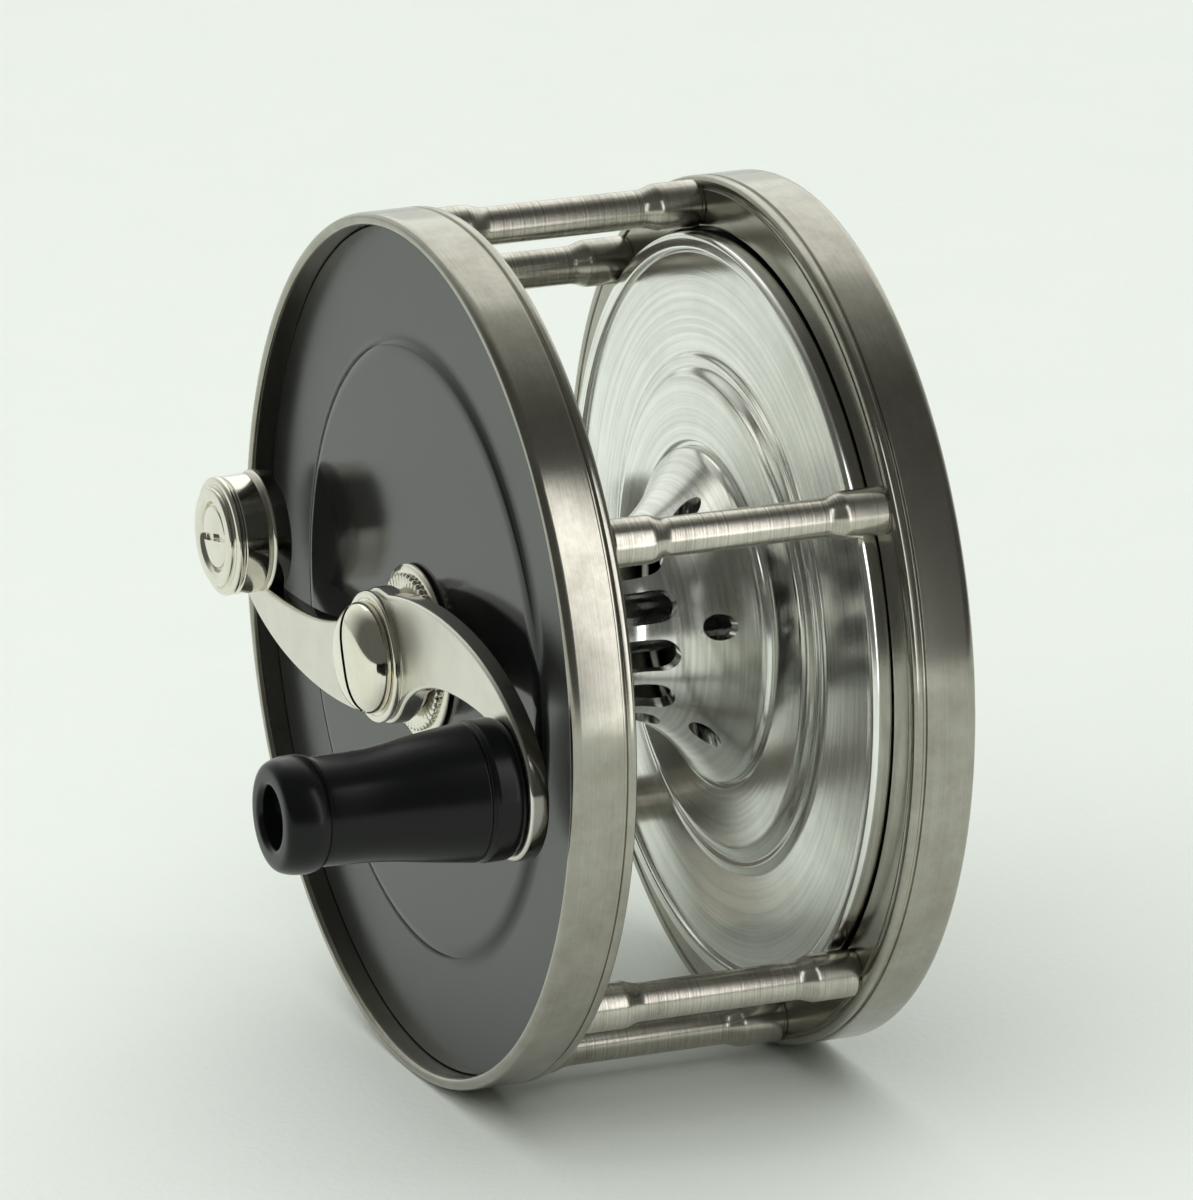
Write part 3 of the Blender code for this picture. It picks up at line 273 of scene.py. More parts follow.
for ring, name, from_lip in (("front_ring", "rim_front", 1), ("rear_ring", "rim_back", -1)):
    corners = [
        (rim_inner, 0.0, 0.6 * mm),
        (rim_radius, 0.0, 1.0 * mm),
        (rim_radius, rim_width - 1.55 * mm, 0.06 * mm),
        (rim_radius - groove_depth, rim_width - 1.45 * mm, 0.05 * mm),
        (rim_radius - groove_depth, rim_width - 1.18 * mm, 0.05 * mm),
        (rim_radius, rim_width - 1.05 * mm, 0.14 * mm),
        (rim_radius, rim_width, 0.55 * mm),
        (rim_radius - 1.15 * mm, rim_width, 0.30 * mm),
        (rim_radius - 1.22 * mm, rim_width - 0.25 * mm, 0.05 * mm),
        (rim_radius - 1.42 * mm, rim_width - 0.25 * mm, 0.05 * mm),
        (rim_radius - 1.48 * mm, rim_width - 0.06 * mm, 0.05 * mm),
        (seat_inner, rim_width - 0.06 * mm, 0.20 * mm),
        (seat_inner, seat_depth, 0.15 * mm),
        (rim_inner, seat_depth, 0)]
    lip = rim_low[1] if from_lip > 0 else rear_high[1]
    outline = [(radius, from_lip * depth) for radius, depth in rounded(corners)]
    rim = turn(name, outline, (reel_axis.x, lip, reel_axis.z), satin_nickel, rim_sides)
    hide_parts(ring)
    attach(rim, "frame")

# ---- plates ----------------------------------------------------------------
# Black hard rubber discs let into the rims. The front one is pressed up in the middle with a soft
# shoulder and polished there, and the back one is held by four slotted screws.
plate_low, plate_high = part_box("front_plate")
plate_radius = (plate_high[0] - plate_low[0]) / 2 + 0.25 * mm
wheel_low, wheel_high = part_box("drag_wheel")
face_depth = wheel_high[1] + 0.3 * mm - rim_low[1]
bearing_radius = 6.3 * mm
plateau_radius = 33.3 * mm
annulus_depth = 2.6 * mm
plate_inside = plate_high[1] - rim_low[1]
plate_crown = 0.12 * mm


def hard_rubber(name, colour, roughness, grain_height, grain_scale):
    """Black vulcanised rubber: a fine grain, with cloudy changes of shade and gloss."""
    material, tree, shader = new_material(name)
    shader.inputs["IOR"].default_value = 1.55
    place = node(tree, "TexCoord").outputs["Object"]
    grain = node(tree, "TexNoise", {"Vector": place, "Scale": grain_scale, "Detail": 4.0})
    bump = node(tree, "Bump", {"Height": grain.outputs["Fac"], "Distance": grain_height})
    tree.links.new(bump.outputs[0], shader.inputs["Normal"])
    cloud = node(tree, "TexNoise", {"Vector": place, "Scale": 90.0, "Detail": 3.0})
    gloss = node(tree, "MapRange", {"Value": cloud.outputs["Fac"], "To Min": 0.8 * roughness,
                                    "To Max": 1.25 * roughness})
    tree.links.new(gloss.outputs[0], shader.inputs["Roughness"])
    faded = tuple(1.6 * c for c in colour)
    tree.links.new(blend(tree, cloud.outputs["Fac"], colour, faded), shader.inputs["Base Color"])
    return material


black_plate = hard_rubber("black_plate", (0.016, 0.017, 0.0165), 0.24, 1.0e-6, 4000)
polished_plate = hard_rubber("polished_plate", (0.006, 0.0065, 0.0065), 0.12, 0.4e-6, 4000)
outline = rounded([
    (plate_radius, annulus_depth, 0.25 * mm),
    (plate_radius, plate_inside, 0.2 * mm),
    (bearing_radius, plate_inside, 0.1 * mm),
    (bearing_radius, face_depth - plate_crown, 0.2 * mm),
    (plateau_radius * 0.5, face_depth - 0.6 * plate_crown, 6 * mm),
    (plateau_radius - 0.5 * mm, face_depth, 1.1 * mm),
    (plateau_radius + 0.6 * mm, annulus_depth, 0.8 * mm)], steps=8)
plate = turn("plate_front", outline, reel_axis, black_plate, rim_sides)
plate.data.materials.append(polished_plate)
for face in plate.data.polygons:
    if face.normal.y < 0 and math.hypot(face.center.x, face.center.z) < plateau_radius:
        face.material_index = 1
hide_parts("front_plate")
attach(plate, "frame")

rear_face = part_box("rear_plate")[1][1] - rim_low[1]
reel_width = rear_high[1] - rim_low[1]
rear_inside = reel_width - plate_inside
button_low, button_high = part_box("click_button")
button_radius = (button_high[0] - button_low[0]) / 2
button_z = (button_low[2] + button_high[2]) / 2 - reel_axis.z
click_travel = 2.5 * mm
slot_half = 1.3 * mm
cut_crease = 35


def carve(piece, cutter_bm, operation="DIFFERENCE"):
    """Cut a piece with a mesh given in its own coordinates, or join or trim it with one."""
    bmesh.ops.recalc_face_normals(cutter_bm, faces=cutter_bm.faces)
    mesh = bpy.data.meshes.new("cutter")
    cutter_bm.to_mesh(mesh)
    cutter_bm.free()
    cutter = bpy.data.objects.new("cutter", mesh)
    cutter.matrix_world = piece.matrix_basis
    bpy.context.collection.objects.link(cutter)
    piece.modifiers.clear()
    boolean = piece.modifiers.new("cut", "BOOLEAN")
    boolean.operation = operation
    boolean.solver = "EXACT"
    boolean.object = cutter
    bpy.context.view_layer.update()
    solid = bpy.data.meshes.new_from_object(piece.evaluated_get(bpy.context.evaluated_depsgraph_get()))
    piece.modifiers.clear()
    piece.data = solid
    bpy.data.objects.remove(cutter)
    solid.shade_smooth()
    solid.set_sharp_from_angle(angle=math.radians(cut_crease))
    flat_normals(piece)


def prism(outline, low, high):
    """A mesh of an (x, z) outline drawn out from y = low to y = high."""
    bm = bmesh.new()
    first = [bm.verts.new((x, low, z)) for x, z in outline]
    last = [bm.verts.new((x, high, z)) for x, z in outline]
    bm.faces.new(first)
    bm.faces.new(last)
    bridge(bm, first, last)
    return bm


def arc(radius, start, sweep, count, centre=(0, 0)):
    """Points on an arc in the (x, z) plane, angles in degrees."""
    angles = [math.radians(start + sweep * i / (count - 1)) for i in range(count)]
    return [(centre[0] + radius * math.cos(angle), centre[1] + radius * math.sin(angle)) for angle in angles]


outline = rounded([
    (plate_radius, rear_inside, 0.2 * mm), (plate_radius, rear_face, 0.3 * mm),
    (bearing_radius, rear_face, 0.1 * mm), (bearing_radius, rear_inside, 0.1 * mm)])
plate = turn("plate_back", outline, reel_axis, black_plate, rim_sides)
button_slot = (arc(slot_half, 0, 180, 13, (0, button_z + click_travel))
               + arc(slot_half, 180, 180, 13, (0, button_z)))
carve(plate, prism(button_slot, rear_inside - mm, rear_face + mm))
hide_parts("rear_plate")
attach(plate, "frame")

bright_nickel = turned_metal("bright_nickel", (0.82, 0.79, 0.71), (0.66, 0.62, 0.53), 0.10, 0.4e-6,
                             mottle=0.5)


def saw_slot(piece, length, depth, width, degrees, face):
    """Saw a screw slot across a head that ends at y = face, turned by an angle about the Y axis."""
    blade = bmesh.new()
    bmesh.ops.create_cube(blade, size=1.0)
    bmesh.ops.scale(blade, verts=blade.verts, vec=(length, 2 * depth, width))
    bmesh.ops.rotate(blade, verts=blade.verts, matrix=Matrix.Rotation(math.radians(degrees), 3, "Y"))
    bmesh.ops.translate(blade, verts=blade.verts, vec=(0, face, 0))
    carve(piece, blade)


def slotted_screw(name, head, height, placing, turn_degrees, crown=0.3 * mm):
    """A screw head standing on y = 0 towards +Y, with a sawn slot, put in place by a matrix."""
    shank = 0.55 * head
    outline = rounded([
        (0, -0.4 * mm, 0), (shank, -0.4 * mm, 0), (shank, 0, 0), (head, 0, 0.05 * mm),
        (head, height - crown, 0.15 * mm), (0.6 * head, height - 0.25 * crown, 0.5 * head), (0, height, 0)])
    screw = turn(f"{name}_head", outline, (0, 0, 0), bright_nickel, 48)
    saw_slot(screw, 2.6 * head, 0.4 * height, 0.26 * head, turn_degrees, height)
    screw.matrix_basis = placing
    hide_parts(name)
    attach(screw, "frame")


def middle_of(name):
    """The middle of a CAD node's box."""
    low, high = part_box(name)
    return Vector([(low[k] + high[k]) / 2 for k in range(3)])


for number, turned_by in enumerate((20, 64, -35, 8), 1):
    name = f"plate_screw_{number}"
    centre = middle_of(name)
    standing = Matrix.Translation((centre.x, reel_axis.y + rear_face, centre.z))
    slotted_screw(name, 1.6 * mm, 1.0 * mm, standing, turned_by)

# ---- pillars ---------------------------------------------------------------
# Seven nickel silver pillars riveted between the rims. The five that the line runs past are
# thinned in the middle with a soft shoulder, and the two behind the foot are left full.
pillar_nickel = turned_metal("pillar_nickel", (0.58, 0.55, 0.485), (0.34, 0.32, 0.275), 0.22, 3.0e-6,
                             line_scale=4200, cloud_scale=180, line_shade=0.35)
pillar_radius = 2.6 * mm
waist_radius = 2.1 * mm
tenon_radius = pillar_radius - 0.15 * mm
thick_end = 4.9 * mm
taper = 1.5 * mm
waisted_pillars = 5
inner_front = rim_width - 0.05 * mm
inner_back = reel_width - inner_front
for number in range(1, 8):
    name = f"pillar_{number}"
    centre = middle_of(name)
    waist = [] if number > waisted_pillars else [
        (pillar_radius, inner_front + thick_end, 0.35 * mm),
        (waist_radius, inner_front + thick_end + taper, 0.5 * mm),
        (waist_radius, inner_back - thick_end - taper, 0.5 * mm),
        (pillar_radius, inner_back - thick_end, 0.35 * mm)]
    front_end = [
        (0, inner_front - 0.3 * mm, 0),
        (tenon_radius, inner_front - 0.3 * mm, 0),
        (tenon_radius, inner_front + 0.12 * mm, 0.03 * mm),
        (pillar_radius, inner_front + 0.25 * mm, 0.08 * mm)]
    back_end = [
        (pillar_radius, inner_back - 0.25 * mm, 0.08 * mm),
        (tenon_radius, inner_back - 0.12 * mm, 0.03 * mm),
        (tenon_radius, inner_back + 0.3 * mm, 0),
        (0, inner_back + 0.3 * mm, 0)]
    outline = rounded(front_end + waist + back_end)
    pillar = turn(f"pillar_{number}_turned", outline, (centre.x, reel_axis.y, centre.z), pillar_nickel, 64)
    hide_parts(name)
    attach(pillar, "frame")

# ---- foot ------------------------------------------------------------------
# A cast nickel silver foot, filed smooth, which slides under the two hoods of a rod's reel seat.
# Its tips are narrowed and thinned, and four countersunk screws hold it to two of the pillars.
foot_angle = 210
foot_spread = math.radians(15)
foot_half = 27 * mm
foot_stations = 80
foot_width = 15 * mm
tip_width = 8.5 * mm
tip_round = 2.2 * mm
foot_thickness = 2.4 * mm
tip_thickness = 0.9 * mm
pillar_circle = rim_radius - 3 * mm
foot_face = pillar_circle * math.cos(foot_spread) + 2.8 * mm + foot_thickness
middle_depth = reel_width / 2
foot_turn = Matrix.Rotation(math.radians(90 - foot_angle), 4, "Y")


def smooth_step(t):
    """A soft rise from 0 to 1 as t goes from 0 to 1."""
    t = min(max(t, 0.0), 1.0)
    return t * t * (3 - 2 * t)


def foot_section(x):
    """The foot's rounded cross-section at x along the rod: points (y, z) from the middle of its width."""
    end = math.sqrt(max(0.0, 1 - max(0.0, (abs(x) - foot_half + tip_round) / tip_round) ** 2))
    narrowed = smooth_step((abs(x) / foot_half - 0.45) / 0.55)
    half = (foot_width + (tip_width - foot_width) * narrowed) / 2 * (0.35 + 0.65 * end)
    thinned = smooth_step((abs(x) / foot_half - 0.58) / 0.50)
    base = foot_face - foot_thickness + (foot_thickness - tip_thickness) * thinned
    top = foot_face - 0.35 * mm * (1 - end)
    round_off = 0.45 * (top - base)
    corners = ((half, top, 0), (-half, top, 90), (-half, base, 180), (half, base, 270))
    points = []
    for corner_y, corner_z, start in corners:
        centre = (corner_y - math.copysign(round_off, corner_y),
                  corner_z + (round_off if corner_z == base else -round_off))
        points += arc(round_off, start, 90, 6, centre)
    return points


bm = bmesh.new()
stations = [math.sin(math.pi * (i / foot_stations - 0.5)) * foot_half for i in range(foot_stations + 1)]
rows = [[bm.verts.new((x, middle_depth + y, z)) for y, z in foot_section(x)] for x in stations]
for first, second in zip(rows, rows[1:]):
    bridge(bm, first, second)
bm.faces.new(rows[0])
bm.faces.new(rows[-1])
foot = new_piece("foot", bm, reel_axis, satin_nickel)
foot.matrix_basis = Matrix.Translation(reel_axis) @ foot_turn
flat_normals(foot)
sinks = bmesh.new()
reach = pillar_circle * math.sin(foot_spread)
screw_places = [(side * reach, middle_depth + y) for side in (-1, 1) for y in (-4.5 * mm, 4.5 * mm)]
for x, y in screw_places:
    bmesh.ops.create_cone(sinks, cap_ends=True, segments=48, radius1=1.0 * mm, radius2=1.75 * mm,
                          depth=1.3 * mm, matrix=Matrix.Translation((x, y, foot_face - 0.6 * mm)))
carve(foot, sinks)
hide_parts("reel_foot")
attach(foot, "frame")

for number, (x, y) in enumerate(screw_places, 1):
    standing = (Matrix.Translation(reel_axis) @ foot_turn
                @ Matrix.Translation((x, y, foot_face - 0.85 * mm))
                @ Matrix.Rotation(math.radians(90), 4, "X"))
    slotted_screw(f"foot_screw_{number}", 1.55 * mm, 0.7 * mm, standing, 35 * number, 0.12 * mm)

# ---- back bearing and click button -------------------------------------------
# A turned nickel silver cap closes the back bearing and is held by three small screws. The click
# button beside it has a turned groove for the thumb and slides in a slot of the plate.
cap_low, cap_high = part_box("rear_bearing_cap")
cap_radius = (cap_high[0] - cap_low[0]) / 2
cap_top = cap_high[1] - reel_axis.y
spigot = bearing_radius - 0.1 * mm
outline = rounded([
    (0, rear_face - 1 * mm, 0),
    (spigot, rear_face - 1 * mm, 0),
    (spigot, rear_face + 0.05 * mm, 0),
    (cap_radius, rear_face + 0.05 * mm, 0.1 * mm),
    (cap_radius, rear_face + 0.75 * mm, 0.25 * mm),
    (bearing_radius + 0.3 * mm, rear_face + 0.85 * mm, 0.25 * mm),
    (bearing_radius - 0.4 * mm, cap_top - 0.45 * mm, 0.4 * mm),
    (3.4 * mm, cap_top - 0.1 * mm, 0.5 * mm),
    (3.2 * mm, cap_top - 0.35 * mm, 0.08 * mm),
    (2.9 * mm, cap_top - 0.35 * mm, 0.08 * mm),
    (2.7 * mm, cap_top - 0.1 * mm, 0.08 * mm),
    (0, cap_top, 0)])
cap = turn("back_bearing", outline, reel_axis, satin_nickel, 128)
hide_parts("rear_bearing_cap")
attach(cap, "frame")
for number in (1, 2, 3):
    name = f"bearing_screw_{number}"
    centre = middle_of(name)
    standing = Matrix.Translation((centre.x, reel_axis.y + rear_face + 0.7 * mm, centre.z))
    slotted_screw(name, 1.25 * mm, 0.55 * mm, standing, 50 * number, 0.15 * mm)

button_top = button_high[1] - reel_axis.y
button_neck = button_radius - 0.15 * mm
outline = rounded([
    (0, rear_inside - 0.3 * mm, 0),
    (1.0 * mm, rear_inside - 0.3 * mm, 0),
    (1.0 * mm, rear_face + 0.15 * mm, 0),
    (button_radius, rear_face + 0.15 * mm, 0.15 * mm),
    (button_radius, rear_face + 0.6 * mm, 0.05 * mm),
    (button_neck, rear_face + 0.7 * mm, 0.05 * mm),
    (button_neck, rear_face + 0.85 * mm, 0.05 * mm),
    (button_radius, rear_face + 0.95 * mm, 0.05 * mm),
    (button_radius, button_top - 0.05 * mm, 0.35 * mm),
    (0.5 * button_radius, button_top, 0.5 * mm),
    (0, button_top - 0.12 * mm, 0)])
button = turn("click_thumb", outline, (reel_axis.x, reel_axis.y, reel_axis.z + button_z), satin_nickel, 64)
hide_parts("click_button")
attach(button, "click_slide")

# ---- spool flanges ---------------------------------------------------------
# Two aluminium flanges spun and turned with a rolled outer edge, a fine groove inside it, a stepped
# ridge, and a seat for the arbor. They are polished on the lathe, so light runs across them in streaks.
spool_low, spool_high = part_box("spool_front_flange")
spool_radius = (spool_high[0] - spool_low[0]) / 2 + 0.55 * mm
seat = middle_depth - (spool_high[1] - reel_axis.y)
edge = middle_depth - (spool_low[1] - reel_axis.y)
hub_radius = 5.5 * mm
spindle_hole = 3.3 * mm
arbor_flare = 18.3 * mm
ridge_radius = 27.0 * mm


def polished_turning(name, colour, roughness, stretch, line_height):
    """Aluminium polished on the lathe: fine rings that stretch reflections, and coarser ones that show."""
    dull = tuple(0.86 * c for c in colour)
    material = turned_metal(name, colour, dull, roughness, line_height, line_scale=6500, mottle=0.7,
                            cloud_scale=120)
    tree = material.node_tree
    shader = tree.nodes["Principled BSDF"]
    shader.inputs["Anisotropic"].default_value = stretch
    tangent = node(tree, "Tangent", direction_type="RADIAL", axis="Y")
    tree.links.new(tangent.outputs[0], shader.inputs["Tangent"])
    cuts = lathe_lines(tree, 1700.0, swirl=0.025, detail=4.0, roughness=0.6, depth_axis="Z")
    fine_lines = shader.inputs["Normal"].links[0].from_socket
    bump = node(tree, "Bump", {"Height": cuts, "Distance": 7.0e-6, "Normal": fine_lines})
    tree.links.new(bump.outputs[0], shader.inputs["Normal"])
    shade = node(tree, "MapRange", {"Value": cuts, "From Min": 0.36, "From Max": 0.60, "To Min": 0.80})
    plain = shader.inputs["Base Color"].links[0].from_socket
    shaded = node(tree, "VectorMath", {0: plain, "Scale": shade.outputs[0]}, operation="SCALE")
    tree.links.new(shaded.outputs[0], shader.inputs["Base Color"])
    return material


aluminium = polished_turning("aluminium", (0.93, 0.93, 0.89), 0.16, 0.6, 1.2e-6)
flange_outline = rounded([
    (spindle_hole, seat, 0),
    (arbor_flare + 0.05 * mm, seat, 0.05 * mm),
    (arbor_flare + 0.15 * mm, seat + 0.5 * mm, 0.05 * mm),
    (arbor_flare + 0.6 * mm, seat + 0.5 * mm, 0.05 * mm),
    (arbor_flare + 0.7 * mm, seat - 0.05 * mm, 0.15 * mm),
    (ridge_radius - 1.2 * mm, seat + 0.25 * mm, 0.9 * mm),
    (ridge_radius + 0.1 * mm, seat + 1.35 * mm, 0.5 * mm),
    (ridge_radius + 0.8 * mm, seat + 1.1 * mm, 0.4 * mm),
    (ridge_radius + 1.6 * mm, seat + 1.6 * mm, 0.5 * mm),
    (spool_radius - 2.15 * mm, seat + 1.85 * mm, 0.1 * mm),
    (spool_radius - 2.05 * mm, seat + 2.05 * mm, 0.04 * mm),
    (spool_radius - 1.85 * mm, seat + 2.05 * mm, 0.04 * mm),
    (spool_radius - 1.75 * mm, seat + 1.35 * mm, 0.3 * mm),
    (spool_radius - 0.2 * mm, seat + 1.34 * mm, 0.5 * mm),
    (spool_radius, seat + 1.9 * mm, 0.4 * mm),
    (spool_radius, edge, 0.25 * mm),
    (spool_radius - 0.9 * mm, edge, 0.25 * mm),
    (spool_radius - 2.6 * mm, seat + 3.0 * mm, 0.8 * mm),
    (ridge_radius - 1.6 * mm, seat + 1.65 * mm, 2 * mm),
    (hub_radius, seat + 1.3 * mm, 0.3 * mm),
    (hub_radius, seat + 2.1 * mm, 0.2 * mm),
    (spindle_hole, seat + 2.1 * mm, 0.1 * mm)])
spool_middle = (reel_axis.x, reel_axis.y + middle_depth, reel_axis.z)
for name, node_name, sign in (("flange_front", "spool_front_flange", -1),
                              ("flange_back", "spool_rear_flange", 1)):
    outline = [(radius, sign * distance) for radius, distance in flange_outline]
    flange = turn(name, outline, spool_middle, aluminium, rim_sides)
    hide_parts(node_name)
    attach(flange, "spool")

# ---- arbor -----------------------------------------------------------------
# An aluminium trumpet turned thin and then lightened: twelve slots with round ends are milled through
# its waist, and a row of six round holes is drilled through each flare.
arbor_waist = 10.0 * mm
arbor_wall = 1.2 * mm
flare_power = 2.1
slot_count = 12
slot_length = 9.2 * mm
slot_width = 3.6 * mm
hole_count = 6
hole_radius = 1.45 * mm
hole_place = 8.1 * mm
spool_turn = -2.5
arbor_half = seat + 0.02 * mm
arbor_steps = 60


def arbor_outside(distance):
    """The trumpet's outside radius at a distance from the middle of the spool."""
    share = min(abs(distance) / (arbor_half - 0.7 * mm), 1.0)
    return arbor_waist + (arbor_flare - arbor_waist) * share ** flare_power


distances = [arbor_half * (2 * i / arbor_steps - 1) for i in range(arbor_steps + 1)]
outside = [(arbor_outside(distance), distance) for distance in distances]
inside = []
for distance in reversed(distances):
    slope = (arbor_outside(abs(distance) + 0.01 * mm) - arbor_outside(abs(distance))) / (0.01 * mm)
    inside.append((arbor_outside(distance) - arbor_wall * math.sqrt(1 + slope * slope), distance))
arbor = turn("arbor", outside + inside, spool_middle, aluminium)
cutters = bmesh.new()
straight = (slot_length - slot_width) / 2
slot_outline = (arc(slot_width / 2, -90, 180, 13, (straight, 0))
                + arc(slot_width / 2, 90, 180, 13, (-straight, 0)))
for i in range(slot_count):
    slot_angle = math.radians(-(spool_turn + 360 / slot_count * i))
    low = [cutters.verts.new((5 * mm, y, z)) for y, z in slot_outline]
    high = [cutters.verts.new((arbor_flare, y, z)) for y, z in slot_outline]
    cutters.faces.new(low)
    cutters.faces.new(high)
    bridge(cutters, low, high)
    bmesh.ops.rotate(cutters, verts=low + high, matrix=Matrix.Rotation(slot_angle, 3, "Y"))
for i in range(hole_count):
    hole_angle = math.radians(-(spool_turn + 15 + 360 / hole_count * i))
    for sign in (-1, 1):
        drill = Matrix.Translation((14 * mm, sign * hole_place, 0)) @ Matrix.Rotation(math.pi / 2, 4, "Y")
        bmesh.ops.create_cone(cutters, cap_ends=True, segments=40, radius1=hole_radius, radius2=hole_radius,
                              depth=16 * mm, matrix=Matrix.Rotation(hole_angle, 4, "Y") @ drill)
carve(arbor, cutters)
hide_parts("spool_arbor")
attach(arbor, "spool")

# ---- inner works -------------------------------------------------------------
# The steel spindle, ratchet, pawl and springs, the brass bushing and click slide, and the oiled
# leather washer of the drag. They sit behind the plates and are seen only through gaps and slots.
steel = turned_metal("steel", (0.50, 0.50, 0.49), (0.30, 0.29, 0.28), 0.26, 1.5e-6, line_scale=6000,
                     mottle=0.9, cloud_scale=400)
brass = turned_metal("brass", (0.72, 0.55, 0.27), (0.48, 0.35, 0.17), 0.28, 1.5e-6, line_scale=6000,
                     mottle=0.9, cloud_scale=400)
leather, tree, shader = new_material("leather")
place = node(tree, "TexCoord").outputs["Object"]
pores = node(tree, "TexVoronoi", {"Vector": place, "Scale": 2500.0})
stain = node(tree, "TexNoise", {"Vector": place, "Scale": 300.0, "Detail": 4.0})
hide = blend(tree, stain.outputs["Fac"], (0.22, 0.13, 0.07), (0.10, 0.055, 0.03))
bump = node(tree, "Bump", {"Height": pores.outputs["Distance"], "Distance": 0.03 * mm})
shader.inputs["Roughness"].default_value = 0.7
tree.links.new(hide, shader.inputs["Base Color"])
tree.links.new(bump.outputs[0], shader.inputs["Normal"])
steel_works = ("spindle", "ratchet_wheel", "pawl_pin", "click_pawl", "pawl_spring", "drag_spring",
               "knob_post")
brass_works = ("front_bushing", "click_slide")
for material, names in ((steel, steel_works), (brass, brass_works), (leather, ("drag_washer",))):
    for name in names:
        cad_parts[name].data.materials[0] = material

# ---- drag wheel --------------------------------------------------------------
# A small nickel nut behind the crank sets the drag. It has a smooth flange behind, fine milled
# teeth in front of it, and a plain stepped collar that turns on the bearing's nose.
wheel_radius = (wheel_high[0] - wheel_low[0]) / 2
wheel_back = wheel_high[1] - reel_axis.y
tooth_radius = wheel_radius - 0.95 * mm
collar_radius = 6.4 * mm
nose_hole = 4.95 * mm
tooth_count = 56
tooth_points = 8
tooth_depth = 0.28 * mm
milled_rows = [
    (nose_hole, wheel_back, 0),
    (wheel_radius - 0.15 * mm, wheel_back, 0),
    (wheel_radius, wheel_back - 0.12 * mm, 0),
    (wheel_radius, wheel_back - 0.42 * mm, 0),
    (wheel_radius - 0.15 * mm, wheel_back - 0.55 * mm, 0),
    (tooth_radius + 0.1 * mm, wheel_back - 0.58 * mm, 0),
    (tooth_radius - 0.2 * mm, wheel_back - 0.66 * mm, 0.2),
    (tooth_radius, wheel_back - 0.78 * mm, 1),
    (tooth_radius, wheel_back - 1.12 * mm, 1),
    (tooth_radius - 0.22 * mm, wheel_back - 1.24 * mm, 0.3),
    (collar_radius + 0.1 * mm, wheel_back - 1.26 * mm, 0),
    (collar_radius, wheel_back - 1.28 * mm, 0),
    (collar_radius, 0.12 * mm, 0),
    (collar_radius - 0.12 * mm, 0, 0),
    (nose_hole + 0.1 * mm, 0, 0),
    (nose_hole, 0.1 * mm, 0)]
bm = bmesh.new()
sides = tooth_points * tooth_count
rings = []
for radius, y, milled in milled_rows:
    ring = []
    for i in range(sides):
        dip = tooth_depth * milled * abs(math.cos(math.pi * i / tooth_points)) ** 3
        angle = 2 * math.pi * i / sides
        ring.append(bm.verts.new(((radius - dip) * math.cos(angle), y, (radius - dip) * math.sin(angle))))
    rings.append(ring)
for first, second in zip(rings, rings[1:] + rings[:1]):
    bridge(bm, first, second)
wheel = new_piece("drag_nut", bm, reel_axis, bright_nickel)
flat_normals(wheel)
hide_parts("drag_wheel")
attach(wheel, "drag_wheel")

# ---- crank arm ---------------------------------------------------------------
# Cut from nickel silver plate in an S, with its edges bevelled and polished, and its face left satin. Its
# edges get painted shade: a darker colour that stands in for the dark reflection they show. A low hub is
# turned on it, and a round boss behind sits square on the spindle.
arm_low, arm_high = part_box("crank_arm")
arm_face = arm_low[1] - reel_axis.y
arm_back = arm_face + 2.1 * mm
boss_back = arm_high[1] - reel_axis.y
arm_hub = 7.4 * mm
knob_throw, knob_angle, knob_lobe = 35.0 * mm, -7.1, 7.9 * mm
weight_throw, weight_angle, weight_lobe = 38.0 * mm, 175.3, 6.9 * mm
bevel_width = 0.5 * mm


def on_crank(throw, degrees):
    """The point (x, z) from the spool's axis that a throw and an angle give."""
    return throw * math.cos(math.radians(degrees)), throw * math.sin(math.radians(degrees))


def curve(a, b, c, d, count):
    """Points on a cubic curve, without its first one."""
    points = []
    for i in range(1, count + 1):
        t = i / count
        points.append(tuple((1 - t) ** 3 * a[k] + 3 * (1 - t) ** 2 * t * b[k]
                            + 3 * (1 - t) * t * t * c[k] + t ** 3 * d[k] for k in (0, 1)))
    return points


def arm_side(throw, degrees, lobe, flip):
    """One half of the S, from under the hub, round the end lobe and back to the hub's top."""
    centre = tuple(flip * part for part in on_crank(throw, degrees))
    reach = centre[0]
    under = arc(arm_hub, -40, 0, 2)[0]
    join = arc(lobe, 130, 0, 2, centre)[0]
    leave = arc(lobe, 45, 0, 2, centre)[0]
    hub_shoulder = (0.27 * arm_hub, arm_hub)
    points = [under] + curve(under, (0.28 * reach, 0.11 * arm_hub), (0.57 * reach, 0.30 * arm_hub), join, 26)
    points += arc(lobe, 130, 275, 60, centre)[1:]
    points += curve(leave, (0.93 * reach, 1.31 * arm_hub), (0.40 * reach, 1.43 * arm_hub), hub_shoulder, 36)
    points += arc(arm_hub, 90, 50, 12)[1:-1]
    return [(x * flip, z * flip) for x, z in points]


def inset(outline, distance):
    """The outline moved inwards by a distance."""
    moved = []
    for i, (x, z) in enumerate(outline):
        before, after = outline[i - 1], outline[(i + 1) % len(outline)]
        along = Vector((after[0] - before[0], after[1] - before[1])).normalized()
        moved.append((x - along.y * distance, z + along.x * distance))
    return moved


